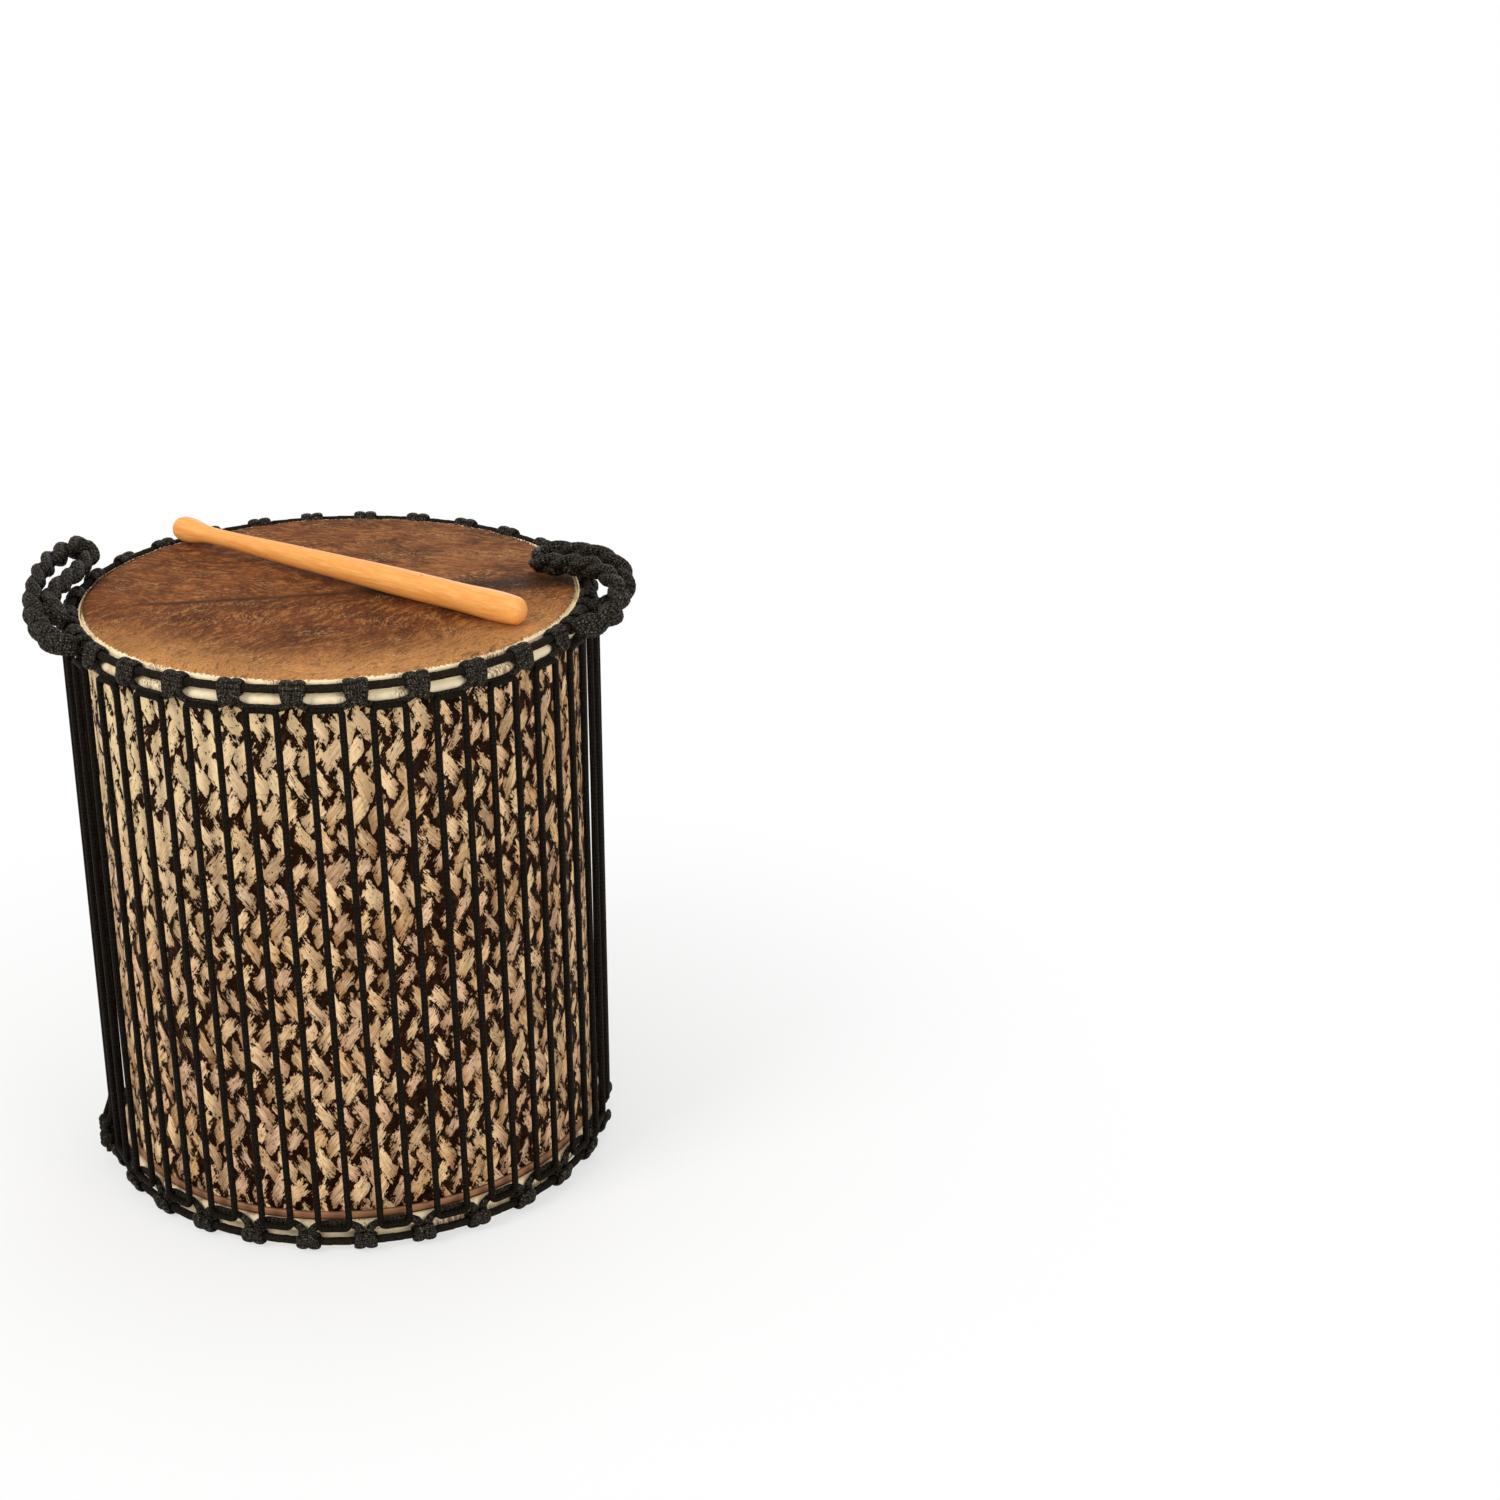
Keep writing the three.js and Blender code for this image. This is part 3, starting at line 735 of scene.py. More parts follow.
def crown_shape(end):
    around = np.arange(RING_STEPS + 1) / RING_STEPS
    turn = np.arange(RING_SIDES + 1) / RING_SIDES
    wind = (around[:, None] * CLOTH_TURNS + turn[None, :]) % 1
    lap = CLOTH_LAP * np.clip(wind * LAP_RISE, 0, 1) * (wind < LAP_END)
    reach = CROWN_ROD - CLOTH_SUNK + lap
    angle = 2 * np.pi * turn[None, :]
    radius = CROWN_RING + reach * np.cos(angle)
    height = end.height(end.crown_drop) + reach * np.sin(angle)
    points = drum_point(360 * around[:, None], radius, height)[:-1, :-1]
    marks = np.zeros((RING_STEPS + 1, RING_SIDES + 1, 3))
    marks[..., 0] = around[:, None] * RING_RUN
    marks[..., 1] = turn[None, :] * ROD_RUN
    return grid_shape(points, marks, wrap_rows=True, wrap_columns=True)


cloth = Finish("ring_cloth", Roughness=0.8, Specular_IOR_Level=0.05)
cloth_run, cloth_round, _ = cloth.marks()
thread = (cloth_run * THREAD_COUNT).sine() * (cloth_round * THREAD_COUNT).sine()
fuzz = cloth.noise(cloth.place(), (900, 900, 900), detail=3)
cloth.give(Base_Color=cloth.blend(fuzz.above(0.3, 0.7), colour(12, 9, 7), colour(42, 35, 27)))
cloth.bump(thread * 0.35 + fuzz, 0.00025)
for end in (TOP, BOTTOM):
    add_piece(f"{end.name}_crown_hoop", crown_shape(end), cloth, "drum",
              [f"{end.name}_crown_ring"])

# %% [markdown]
# ## The rope
# All the rope is black braided cord, and the lacing and the cradles are about 5 mm thick.
# Where it is easy to see, on the hitches and handles, the braid's diamonds are in the mesh.
# On the long straight lacing they are only a bump. Grey on the high threads is partly wear and
# partly painted sheen, a highlight put into the colour.

# %% The rope's finish
def rope_finish(name, bump_height, sheen_and_wear):
    """sheen_and_wear, from 0 to 1, is how much grey shows on the high threads: painted sheen, and
    some wear.
    """
    finish = Finish(name, Roughness=0.5, Specular_IOR_Level=0.05)
    around, along, _ = finish.marks()
    whole = 2 * np.pi
    left = ((around * BRAID_STRANDS + along) * whole).sine()
    right = ((around * BRAID_STRANDS - along) * whole).sine()
    braid = left * right * 0.5 + 0.5
    thread_place = finish.joined(around * 4, along * 2.6, 0.0)
    fibre = finish.noise(thread_place, scale=3, detail=3, roughness=0.7)
    worn = finish.noise(finish.place(), (260, 260, 260), detail=3, roughness=0.6)
    # Grey on the braid's crests and on single threads is painted sheen; the larger grey patches
    # are wear.
    shade = finish.blend(braid.above(0.45, 0.9) * sheen_and_wear, colour(11, 5, 1), colour(55, 50, 42))
    shade = finish.blend(fibre.above(0.54, 0.66) * 0.8 * sheen_and_wear, shade, colour(126, 122, 112))
    shade = finish.blend(worn.above(0.58, 0.74) * 0.5 * sheen_and_wear, shade, colour(82, 78, 68))
    finish.give(Base_Color=shade)
    finish.bump(braid + fibre * 0.5, bump_height)
    return finish


rope_close = rope_finish("braided_rope", 0.00035, 0.85)
rope_far = rope_finish("braided_rope_lacing", 0.0006, 0.16)

# %% [markdown]
# ## The cradles
# On each crown hoop sits a row of 28 cow hitches. The rope comes up behind the hoop, goes
# over it and down, crosses in front as a short bar, goes up and over again, and drops behind
# to hang as a low loop, the swag, before the next hitch. One closed path follows all of that.
# Its turns lie on circles round the hoop, so the rope truly wraps it. The lacing pulls the
# rope so hard that it flattens on the hoop, so each place on the path also carries the
# rope's half thickness, its half width, and the way its flat side faces.

# %% The path of a cradle
TURN_THICK, TURN_WIDE = 1.6, 4.15
FREE_THICK, FREE_WIDE = 2.2, 2.3
SWAG_THICK, SWAG_WIDE = 1.85, 2.6
TURN_RADIUS = CROWN_ROD + TURN_THICK + 0.1
HITCH_SPREAD, NECK_SPREAD = 8.3, 7.6
NECK_RADIUS = 185.5
NECK_ARC, TIGHT_ARC, NECK_FLAT = 300, 230, 0.35
BAR_SIDE, BAR_OUT, BAR_DROP = 3.0, 7.9, 6.0
SWAG_RADIUS = {"top": 183.8, "bottom": 183.5}
HITCH_WANDER = 0.18
SAG_LEAST, SAG_MOST = -0.4, 0.3


def hitch_half(end, crown):
    """Places from the swag in to the neck, up behind the hoop, over it and down to the bar:
    sideways millimetres, radius, height, turn of the flat side, half thickness, half width."""
    swag_radius = SWAG_RADIUS[end.name]
    places = [(11.0, swag_radius + 0.2, end.height(end.swag_drop - 0.3), 356, 1.9, 2.6),
              (7.0, 184.9, end.height(end.neck_drop + 2.7), 350, 2.0, 2.7),
              (NECK_SPREAD / 2, NECK_RADIUS, end.height(end.neck_drop), 345, FREE_THICK, 3.0)]
    for arc in range(NECK_ARC, -1, -20):
        angle = np.radians(arc)
        spread = np.interp(arc, (TIGHT_ARC, NECK_ARC), (HITCH_SPREAD, NECK_SPREAD))
        flat = np.interp(arc, (TIGHT_ARC, NECK_ARC), (1, NECK_FLAT))
        places.append((spread / 2, CROWN_RING + TURN_RADIUS * np.cos(angle),
                       crown + end.up * TURN_RADIUS * np.sin(angle), arc,
                       FREE_THICK + (TURN_THICK - FREE_THICK) * flat,
                       FREE_WIDE + (TURN_WIDE - FREE_WIDE) * flat))
    places += [(HITCH_SPREAD / 2 - 0.2, CROWN_RING + 5.6, crown - end.up * 3.2, 0, 1.8, 3.9),
               (BAR_SIDE, CROWN_RING + BAR_OUT - 0.9, crown - end.up * (BAR_DROP - 0.4),
                0, 2.0, 3.8)]
    return places


def cradle_path(end):
    crown = end.height(end.crown_drop)
    wander = np.random.default_rng(int(end.turn * 10) + 5)
    half = hitch_half(end, crown)
    bar = [(0, CROWN_RING + BAR_OUT - 0.4, crown - end.up * (BAR_DROP + 0.1), 0, 2.2, 4.2)]
    rows = []
    for k in range(HITCHES):
        middle = end.turn + k * PITCH + wander.uniform(-HITCH_WANDER, HITCH_WANDER)
        rising = [(-aside, *rest) for aside, *rest in half]
        for aside, radius, height, *section in [*rising, *bar, *half[::-1]]:
            degrees = middle + np.degrees(aside / radius)
            rows.append([*drum_point(degrees, radius, height), *section])
        low = end.height(end.swag_drop - wander.uniform(SAG_LEAST, SAG_MOST))
        swag = drum_point(middle + PITCH / 2, SWAG_RADIUS[end.name], low)
        rows.append([*swag, 360, SWAG_THICK, SWAG_WIDE])
    return smooth_path(rows, 1.0, closed=True)


for end in (TOP, BOTTOM):
    path = cradle_path(end)
    line, turn, thick, wide = path[:, :3], path[:, 3], path[:, 4], path[:, 5]
    frames = wrap_frames(line, turn, end.up)
    shape = rope(line, thick, wide, frames, sides=24, closed=True, relief=0.17)
    add_piece(f"{end.name}_cradle", shape, rope_close, "drum",
              [f"{end.name}_cradle_rope"])
    print(end.name, "cradle length", round(path_length(line) * MM, 2), "m")

# %% [markdown]
# ## The lacing
# One rope runs up and down between the two cradles, 28 times round, and hooks over each swag.
# It is pulled hard, so its runs are straight. Small seeded shifts at the hooks keep the runs
# from looking ruled.

# %% The path of the lacing
LACING_RADIUS = 188.494
TOP_RUN, BOTTOM_RUN = 416.6, 21.0
HOOK_ROUND, LACING_STEP = 4.5, 7.0
HOOK_WANDER, TOP_SHARE = 0.4, 0.6
KNOT_PLACE, KNOT_RADIUS, KNOT_LOW, KNOT_HIGH = 285, 193.994, 12.5, 27.5
ROPE_RADIUS = 2.4


def lacing_path():
    """The rope's route, and the places round the drum where it meets its two knots."""
    quarter = PITCH / 4
    first = round((KNOT_PLACE - BOTTOM.turn) / PITCH)
    wander = np.random.default_rng(21)
    places = []
    for k in range(first, first + HITCHES):
        low, high = BOTTOM.turn + k * PITCH, k * PITCH
        shifts = wander.uniform(-HOOK_WANDER, HOOK_WANDER, 4)
        places += [(low - quarter + shifts[0], BOTTOM_RUN),
                   (high + quarter + shifts[1] * TOP_SHARE, TOP_RUN),
                   (high + PITCH - quarter + shifts[2] * TOP_SHARE, TOP_RUN),
                   (low + quarter + shifts[3], BOTTOM_RUN)]
    start, end = places[0][0], places[-1][0]
    points = [drum_point(degrees, LACING_RADIUS, height) for degrees, height in places[1:-1]]
    enter = KNOT_HIGH + 0.3
    ends = [(KNOT_RADIUS, enter), (LACING_RADIUS, enter + 15)]
    leave = [drum_point(start, radius, height) for radius, height in ends]
    arrive = [drum_point(end, radius, height) for radius, height in ends[::-1]]
    return rounded_path([*leave, *points, *arrive], HOOK_ROUND, LACING_STEP), start, end


lacing, start_place, end_place = lacing_path()
add_piece("lacing", rope(lacing, ROPE_RADIUS), rope_far, "drum", ["lacing_rope"])
print("lacing length", round(path_length(lacing) * MM, 2), "m")

# %% [markdown]
# The lacing's two ends come down to a knot each. What shows of such a knot is a short coil
# with the rope's own end below it, so it is two plain ropes: a coil of three turns, and a
# core that runs through it.

# %% The knots
KNOT_TURNS, COIL_POINTS = 3, 60
COIL_RADIUS, COIL_ROPE, CORE_ROPE = 3.7, 2.25, 2.2
KNOT_TAIL = 4.0


def knot_shape(degrees):
    x, y, _ = drum_point(degrees, KNOT_RADIUS, 0)
    turns = np.linspace(0, KNOT_TURNS * 2 * np.pi, COIL_POINTS)
    heights = np.linspace(KNOT_HIGH - CORE_ROPE, KNOT_LOW + CORE_ROPE, COIL_POINTS)
    coil = np.stack([x + COIL_RADIUS * np.cos(turns), y + COIL_RADIUS * np.sin(turns), heights],
                    axis=1)
    core = [(x, y, KNOT_HIGH), (x, y, KNOT_LOW + 1), (x, y, KNOT_LOW - KNOT_TAIL)]
    return merged([rope(coil, COIL_ROPE, sides=16, relief=0.16),
                   rope(smooth_path(core, 1.0, closed=False), CORE_ROPE, sides=16, relief=0.16)])


for name, degrees in (("start", start_place), ("end", end_place)):
    add_piece(f"knot_{name}", knot_shape(degrees), rope_close, "drum",
              [f"lacing_knot_{name}"])

# %% [markdown]
# ## The plaited sleeve
# The shell wears a sleeve that is plaited from flat strips of dried leaf. The strips lean
# both ways and cross over and under, so that in one row every strip shows leaning to the
# right, and in the next row every strip leans to the left. The strips have shrunk and torn,
# and black dye fills what lies low between them. A flat tube with a picture of a plait would
# look smooth at the drum's sides, so the strips lie on a thin black backing tube.

# %% The plait's sizes and backing
SLEEVE_LOW, SLEEVE_HIGH, SLEEVE_MARGIN = 28.18, 415.4, 0.4
SLEEVE_INNER, BACK_RADIUS, PATCH_RADIUS = 174.9, 175.9, 177.3
COLUMNS, ROW_HEIGHT = 154, 21.0
BACKING_MARK = -5.0


def backing_shape():
    low, high = SLEEVE_LOW + SLEEVE_MARGIN, SLEEVE_HIGH - SLEEVE_MARGIN
    rows = [(SLEEVE_INNER, SLEEVE_LOW), (BACK_RADIUS, low), (BACK_RADIUS, 160),
            (BACK_RADIUS, 290), (BACK_RADIUS, high), (SLEEVE_INNER, SLEEVE_HIGH)]
    radius, height = np.array(rows).T
    points = drum_point(np.arange(360)[:, None], radius[None, :], height[None, :])
    marks = np.full((360 + 1, len(rows) + 1, 3), BACKING_MARK)
    return grid_shape(points, marks, wrap_rows=True, wrap_columns=True)


print(COLUMNS, "columns, each", round(2 * np.pi * PATCH_RADIUS / COLUMNS, 2), "mm wide")

# %% [markdown]
# Each visible stretch of strip is its own low patch: a leaning lozenge that is crowned in
# its middle and dips under its neighbours at its rim. Seeded draws give each patch its own
# size, lean and bow, so no two are alike. Its marks say where a point lies across and along
# the patch, and give the patch one number of its own, from which its colour is drawn.

# %% The patches of the plait
PATCH_ROWS, PATCH_COLUMNS = 9, 7
STRIP_HALF, CUT_HALF = 9.4, 7.2
STRIP_LEAN, CUT_LEAN = 36, 13
RIM_SUNK = 0.15
FIRST_ROW, LAST_ROW = -0.3, 0.4


def patch_shape(column, row_height, lean, draw):
    along = np.linspace(-1, 1, PATCH_ROWS)[:, None]
    across = np.linspace(-1, 1, PATCH_COLUMNS)[None, :]
    size = draw.uniform(1.16, 1.4)
    strip_angle = np.radians(draw.normal(STRIP_LEAN, 3))
    cut_angle = np.radians(draw.normal(CUT_LEAN, 4))
    rough = 1 + draw.normal(0, 0.025, (PATCH_ROWS, PATCH_COLUMNS))
    bow = draw.uniform(-0.7, 0.7) * (1 - along ** 2)
    sideways = STRIP_HALF * np.sin(strip_angle) * along - CUT_HALF * np.sin(cut_angle) * across
    sideways = sideways + bow
    upward = STRIP_HALF * np.cos(strip_angle) * along + CUT_HALF * np.cos(cut_angle) * across
    height = np.clip(row_height + size * rough * upward,
                     SLEEVE_LOW + SLEEVE_MARGIN, SLEEVE_HIGH - SLEEVE_MARGIN)
    rim = np.maximum(np.abs(across) ** 10, np.abs(along) ** 8)
    crown = (0.72 + 0.28 * along) * (1 - 0.25 * across ** 2) * draw.uniform(0.8, 1)
    rise = PATCH_RADIUS - BACK_RADIUS + RIM_SUNK
    radius = BACK_RADIUS - RIM_SUNK + rise * crown * (1 - rim)
    degrees = column * 360 / COLUMNS + np.degrees(lean * size * rough * sideways / PATCH_RADIUS)
    marks = np.zeros((PATCH_ROWS, PATCH_COLUMNS, 3))
    marks[..., 0], marks[..., 1], marks[..., 2] = across, along, draw.uniform(0, 1)
    points = drum_point(degrees, radius, height)
    if lean < 0:
        points, marks = points[:, ::-1], marks[:, ::-1]
    return grid_shape(points, marks)


def plait_shape():
    draw = np.random.default_rng(33)
    patches = []
    for row in range(int((SLEEVE_HIGH - SLEEVE_LOW) / ROW_HEIGHT) + 2):
        lean = 1 if row % 2 else -1
        for column in range(row % 2, COLUMNS, 2):
            height = SLEEVE_LOW + (row + FIRST_ROW) * ROW_HEIGHT + draw.normal(0, 1.1)
            if height < SLEEVE_HIGH + ROW_HEIGHT * LAST_ROW:
                shifted = column + draw.normal(0, 0.1)
                patches.append(patch_shape(shifted, height, lean, draw))
    print("plait patches", len(patches))
    return merged([backing_shape(), *patches])


plait = plait_shape()

# %% [markdown]
# The leaf is tan, with fibres that run along each strip, and no two strips have the same
# tone. Its torn outline is not cut into the mesh. A mask starts from how near a point is to
# the patch's rim, and noise shifts it: one noise is drawn out along the strip, so the tears
# are splinters, and the others aren't. Where the mask is high the dye shows. Each patch is
# painted darker towards its lower end, a painted shade where it dips under its neighbour.
# The sleeve's upper left side gets painted light, a paler tone, and it is less torn.

# %% The plait's finish
leaf = Finish("leaf_plait", Specular_IOR_Level=0.05)
across, along, own = leaf.marks()
shift = own * 37
fibre_place = leaf.joined(across * 2.2 + shift, along * 0.3, own * 11)
fibre = leaf.noise(fibre_place, scale=3.2, detail=4, roughness=0.7)
blotch_place = leaf.joined(across * 0.8 + shift, along * 1.4, own * 23)
blotch = leaf.noise(blotch_place, scale=1.4, detail=3)
tan = leaf.blend((own * 7).fraction(), colour(222, 170, 112), colour(254, 214, 160))
tan = leaf.blend((own * 13).fraction().above(0.45, 0.9) * 0.7, tan, colour(230, 180, 146))
tan = leaf.blend((own * 29).fraction().above(0.72, 0.95) * 0.6, tan, colour(164, 122, 84))
tan = leaf.blend(fibre.above(0.48, 0.66) * 0.65, tan, colour(255, 236, 200))
tan = leaf.blend((1 - fibre.above(0.36, 0.5)) * 0.65, tan, colour(152, 100, 58))
tan = leaf.blend(blotch.above(0.56, 0.75) * 0.45, tan, colour(176, 126, 88))
# Painted shade: each patch darkens towards its lower end, where it dips under its neighbour.
tan = leaf.blend((-1 * along).above(-0.1, 0.9) * 0.55, tan, colour(146, 94, 56))
leaf_x, _, leaf_z = leaf.split(leaf.place())
# Painted light: the sleeve's upper left is paler, as if lit from there, and it gets less dye.
painted_light_upper_left = (leaf_z - leaf_x.or_more(-0.1) * 0.9).above(0.22, 0.5)
tan = leaf.blend(painted_light_upper_left * 0.65, tan, colour(255, 228, 178))

tear = leaf.noise(leaf.place(), (235, 235, 180), detail=5, roughness=0.74)
spread = leaf.noise(leaf.place(), (40, 40, 30), detail=2)
sliver_place = leaf.joined(across * 4.5 + shift, along * 1.1, own * 19)
sliver = leaf.noise(sliver_place, scale=1.5, detail=3)
reach = abs(across).or_more(abs(along) * 0.86) + ((own * 17).fraction() - 0.5) * 0.12
reach = reach + (tear - 0.5) * 2.05 + (sliver - 0.5) * 1.25 + (spread - 0.5) * 1.3
reach = reach - painted_light_upper_left * 0.09 + 0.01
speck = leaf.noise(leaf.place(), (380, 380, 300), detail=3, roughness=0.7).above(0.62, 0.66)
backing = (-1 * across).above(2, 3)
dark = reach.above(0.65, 0.7).or_more(speck).or_more(backing)
dye = leaf.noise(leaf.place(), (150, 150, 150), detail=4, roughness=0.65)
black = leaf.blend(dye.above(0.5, 0.75), colour(31, 11, 0), colour(70, 43, 19))
leaf.give(Base_Color=leaf.blend(dark, tan, black), Roughness=0.62 - dark * 0.14)
leaf.bump((1 - dark) * (0.7 + fibre * 0.5), 0.0006, 0.8)
add_piece("plaited_sleeve", plait, leaf, "drum", ["woven_sleeve"])

# %% [markdown]
# ## The cane hoop
# A split cane, bent into a hoop, covers the lower edge of the sleeve. The turned profile is
# rounded at its outer corners, and it wanders a little in and out, because a plain band would
# look machined.

# %% The cane hoop
CANE_LOW, CANE_HIGH, CANE_OUTER = 22.88, 27.88, 178.1
CANE_STEPS, CANE_ROUND = 720, 1.3
CANE_WANDER, CANE_RUN = 0.12, 1120


def cane_shape():
    around = np.arange(CANE_STEPS + 1) / CANE_STEPS
    corner = np.radians([0, 30, 60, 90])
    centre, sine, cosine = CANE_OUTER - CANE_ROUND, np.sin(corner), np.cos(corner)
    upper = np.stack([centre + CANE_ROUND * sine, CANE_HIGH - CANE_ROUND + CANE_ROUND * cosine])
    lower = np.stack([centre + CANE_ROUND * cosine, CANE_LOW + CANE_ROUND - CANE_ROUND * sine])
    inner = [(HIDE_INNER, CANE_LOW), (HIDE_INNER, CANE_HIGH)]
    profile = np.concatenate([inner, upper.T, lower.T])
    wobble = waves(2 * np.pi * around[:-1], (3, 7, 12), 5)
    outer = profile[:, 0] > HIDE_INNER + 0.1
    radius = profile[None, :, 0] + CANE_WANDER * wobble[:, None] * outer[None, :]
    points = drum_point(360 * around[:-1, None], radius, profile[None, :, 1])
    marks = np.zeros((CANE_STEPS + 1, len(profile) + 1, 3))
    marks[..., 0] = around[:, None] * CANE_RUN
    marks[..., 1] = np.append(profile[:, 1], CANE_LOW)[None, :]
    return grid_shape(points, marks, wrap_rows=True, wrap_columns=True)


cane = Finish("cane", Roughness=0.5)
cane_run, cane_rise, _ = cane.marks()
cane_grain = cane.noise(cane.joined(cane_run * 0.02, cane_rise * 1.6, 0.0), scale=2, detail=4)
cane_blotch = cane.noise(cane.place(), (22, 22, 40), detail=3)
cane_colour = cane.blend(cane_grain, colour(122, 74, 44), colour(194, 136, 92))
cane_colour = cane.blend(cane_blotch.above(0.55, 0.72) * 0.7, cane_colour, colour(54, 32, 26))
cane.give(Base_Color=cane_colour)
cane.bump(cane_grain, 0.0003)
add_piece("cane_hoop", cane_shape(), cane, "drum", ["base_hoop"])

# %% [markdown]
# ## The handles
# Each handle is a plain plait of three thick strands of black braided rope. It is tied to the
# crown hoop on one side of a hitch, runs out, doubles back on itself as a loop, and is tied
# to the hoop again on the hitch's other side. Its middle line is the one that the CAD solid
# follows: degrees from that hitch, millimetres out from the hoop, and millimetres up. Round
# it each strand swings from side to side once in a lay, and in and out twice, a third of a
# lay apart, which is what a three-strand plait does.

# %% Three strands round a middle line
STRANDS = 3
PLAIT_LAY = 60.0
PLAIT_SIDE, PLAIT_DEPTH = 4.3, 2.9
PLAIT_EASE, TIED_SHARE = 7, 0.35
STRAND_THICK, STRAND_WIDE = 3.6, 4.5
ROOT_OUT, LEAN_OUT = 6.392, 4.52
HALF = PITCH / 2
LEFT_ROUTE = [
    (HALF, ROOT_OUT, 0), (HALF, 12.5, 0.8), (4.4, 18, 2.4), (0, 21.5, 4.5), (-7.7, 23.5, 9.5),
    (-17.7, 23.4, 16.5), (-28.7, 19.8, 22.2), (-35.2, 16.6, 22.8), (-39.6, 14, 21.2),
    (-41.4, 9.8, 18.4), (-39.8, 5.4, 15.8), (-36, 2.6, 15), (-26.7, 1, 15.8), (-18.7, 6.6, 15.8),
    (-12.7, 12, 13.4), (-8.6, 11, 9.8), (-HALF, 7.4, 7.2), (-HALF, LEAN_OUT, LEAN_OUT),
]
RIGHT_ROUTE = [
    (-HALF, ROOT_OUT, 0), (-HALF, 12.5, 0.6), (-4.6, 21.6, 3), (-0.1, 27.6, 8.4),
    (5.9, 23.2, 16.5), (12.9, 8.6, 19.5), (19.5, -9.4, 17), (24.9, -23, 13.6), (29.8, -33, 11.4),
    (33.6, -22, 13.4), (28.6, -9.4, 17.5), (22.8, 5.6, 20.5), (17.3, 20.2, 17.4),
    (12.3, 26.8, 9.6), (8.5, 20.6, 3), (HALF, 12.5, 0.6), (HALF, ROOT_OUT, 0),
]


def plait_of_rope(middle_line):
    out, side = steady_frames(middle_line)
    gaps = np.linalg.norm(np.diff(middle_line, axis=0), axis=1)
    run = np.concatenate([[0], np.cumsum(gaps)])
    lays = run / run[-1] * round(run[-1] / PLAIT_LAY)
    ease = np.minimum(1, np.minimum(run, run[-1] - run) / PLAIT_EASE)[:, None]
    strands = []
    for k in range(STRANDS):
        phase = 2 * np.pi * (lays + k / STRANDS)[:, None]
        swing = PLAIT_SIDE * np.sin(phase) * side + PLAIT_DEPTH * np.sin(2 * phase) * out
        strand = middle_line + swing * (TIED_SHARE + (1 - TIED_SHARE) * ease)
        strands.append(rope(strand, STRAND_THICK, STRAND_WIDE, sides=24, relief=0.28))
    print("plait", round(run[-1], 1), "mm")
    return merged(strands)


# %% [markdown]
# The tail of each plait is wound twice round the crown hoop, which makes the eye that the
# handle turns in. An eye is a short helix round the hoop's own rod.

# %% The eyes, and both handles
CROWN_HEIGHT = TOP.height(TOP.crown_drop)
EYE_ROD = 1.75
EYE_RADIUS = CROWN_ROD + EYE_ROD + 0.2
EYE_TURNS, EYE_POINTS, EYE_PITCH = 2, 61, 3.5


def eye_shape(middle, place):
    """The helix stands at place on the hoop and runs the way the hoop runs at middle."""
    turns = np.linspace(0, EYE_TURNS, EYE_POINTS)
    angle = 2 * np.pi * turns
    heading, out = drum_point(middle + 90, 1, 0), drum_point(middle, 1, 0)
    root = drum_point(place, CROWN_RING, CROWN_HEIGHT)
    path = (root + heading * (EYE_PITCH * (turns - EYE_TURNS / 2))[:, None]
            + out * (EYE_RADIUS * np.cos(angle))[:, None]
            + np.array([0, 0, 1.0]) * (EYE_RADIUS * np.sin(angle))[:, None])
    return rope(path, EYE_ROD, relief=0.1)


for name, hitch, route in (("left", 23, LEFT_ROUTE), ("right", 6, RIGHT_ROUTE)):
    body, middle = f"handle_{name}", hitch * PITCH
    aside, outward, upward = np.array(route).T
    places = drum_point(middle + aside, CROWN_RING + outward, CROWN_HEIGHT + upward)
    strands = plait_of_rope(smooth_path(places, 1.2, closed=False))
    add_piece(f"handle_plait_{name}", strands, rope_close, body, [body])
    front = np.sign(aside[0])
    for which, side in (("front", front), ("rear", -front)):
        eye = eye_shape(middle, middle + side * HALF)
        add_piece(f"eye_{name}_{which}", eye, rope_close, body, [f"{body}_eye_{which}"])

# %% [markdown]
# ## The beater
# The beater is one turned stick: a domed butt, a long taper to a waist, and a knob that
# starts at a short shoulder and swells before its rounded tip. A turned profile with enough
# points gives its soft outline.

# %% The beater's shape
STICK_LENGTH, STICK_RADIUS, STICK_NECK, KNOB_RADIUS = 338, 10, 6.2, 9.4
BUTT_LENGTH, KNOB_LENGTH, NECK_LENGTH = 8.0, 31, 22
STICK_CENTRE = (5, 22.5, DRUM_HEIGHT + 0.3 + STICK_RADIUS)
STICK_HEADING = 145
STICK_SIDES = 48
TAPER = [(60, STICK_RADIUS), (112, STICK_RADIUS), (170, 8.9), (230, 7.6)]
KNOB = [(1.1, 0.68), (0.95, 0.73), (0.8, 0.84), (0.62, 0.95), (0.42, 1), (0.22, 0.95),
        (0.1, 0.8), (0.035, 0.55), (0.008, 0.28), (0, 0)]


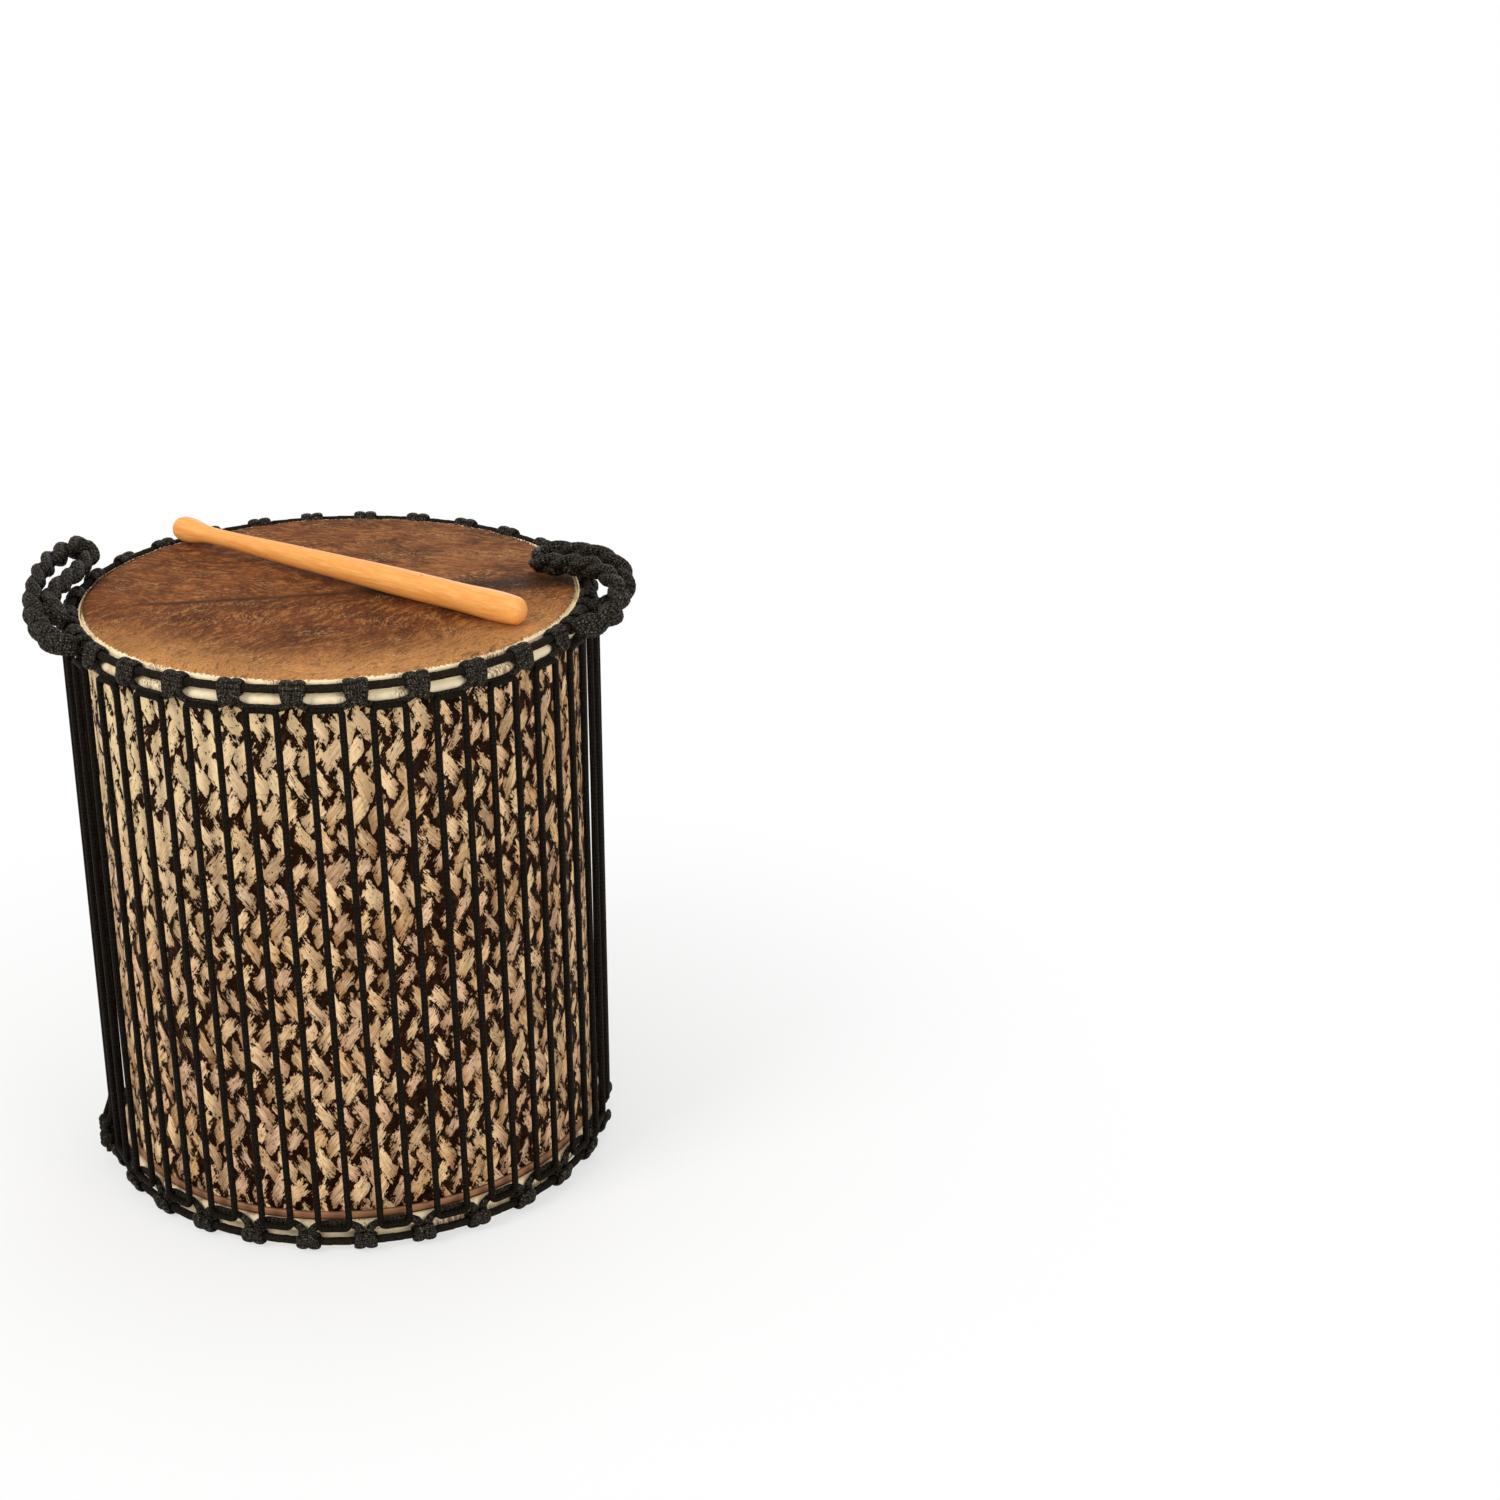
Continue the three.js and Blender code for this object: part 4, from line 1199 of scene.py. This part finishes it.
def stick_profile():
    """Places along the stick and its radius there, from the butt to the knob's tip."""
    waist = STICK_LENGTH - KNOB_LENGTH - NECK_LENGTH
    butt = np.radians(np.arange(0, 91, 10))
    profile = [(BUTT_LENGTH - BUTT_LENGTH * np.cos(a), STICK_RADIUS * np.sin(a)) for a in butt]
    profile += [*TAPER, (waist, STICK_NECK), (waist + 10, STICK_NECK)]
    profile += [(STICK_LENGTH - back * KNOB_LENGTH, wide * KNOB_RADIUS) for back, wide in KNOB]
    profile = np.array(profile)
    profile[0, 1] = profile[-1, 1] = 0.02
    flat = np.concatenate([profile, np.zeros((len(profile), 1))], axis=1)
    return smooth_path(flat, 2.5, closed=False)


def stick_shape():
    line = stick_profile()
    angle = 2 * np.pi * (np.arange(STICK_SIDES + 1) / STICK_SIDES)
    x = line[:, :1] - STICK_LENGTH / 2
    y, z = line[:, 1:2] * np.cos(angle[:-1]), line[:, 1:2] * np.sin(angle[:-1])
    heading = np.radians(STICK_HEADING)
    points = np.stack(np.broadcast_arrays(x * np.cos(heading) - y * np.sin(heading),
                                          x * np.sin(heading) + y * np.cos(heading), z), axis=-1)
    marks = np.zeros((len(line), STICK_SIDES + 1, 3))
    marks[..., 0], marks[..., 1], marks[..., 2] = line[:, :1], np.cos(angle), np.sin(angle)
    return grid_shape(points + np.array(STICK_CENTRE), marks, wrap_columns=True)


print("the stick's outline has", len(stick_profile()), "points")

# %% [markdown]
# The wood is pale, under a warm orange varnish that has collected small dark marks. The grain
# is read from the marks, which turn with the stick, so it runs along the wood.

# %% The beater's varnish
varnish = Finish("stick_varnish", Roughness=0.42, Specular_IOR_Level=0.35)
stick_run, stick_y, stick_z = varnish.marks()
wood_place = varnish.joined(stick_run * 0.02, stick_y * 2.2, stick_z * 2.2)
wood_grain = varnish.noise(wood_place, scale=3, detail=5, roughness=0.6, distortion=0.4)
wood_cloud = varnish.noise(wood_place, (1.4, 0.5, 0.5), scale=1.2, detail=2)
orange = varnish.blend(wood_grain.above(0.3, 0.7), colour(240, 156, 70), colour(252, 182, 100))
orange = varnish.blend(wood_cloud.above(0.5, 0.75) * 0.35, orange, colour(228, 136, 56))
nick = varnish.noise(varnish.place(), (150, 150, 150), detail=2).above(0.71, 0.76)
varnish.give(Base_Color=varnish.blend(nick * 0.6, orange, colour(120, 62, 30)))
varnish.bump(wood_grain, 0.0002, 0.5)
add_piece("beater", stick_shape(), varnish, "stick", ["stick"])
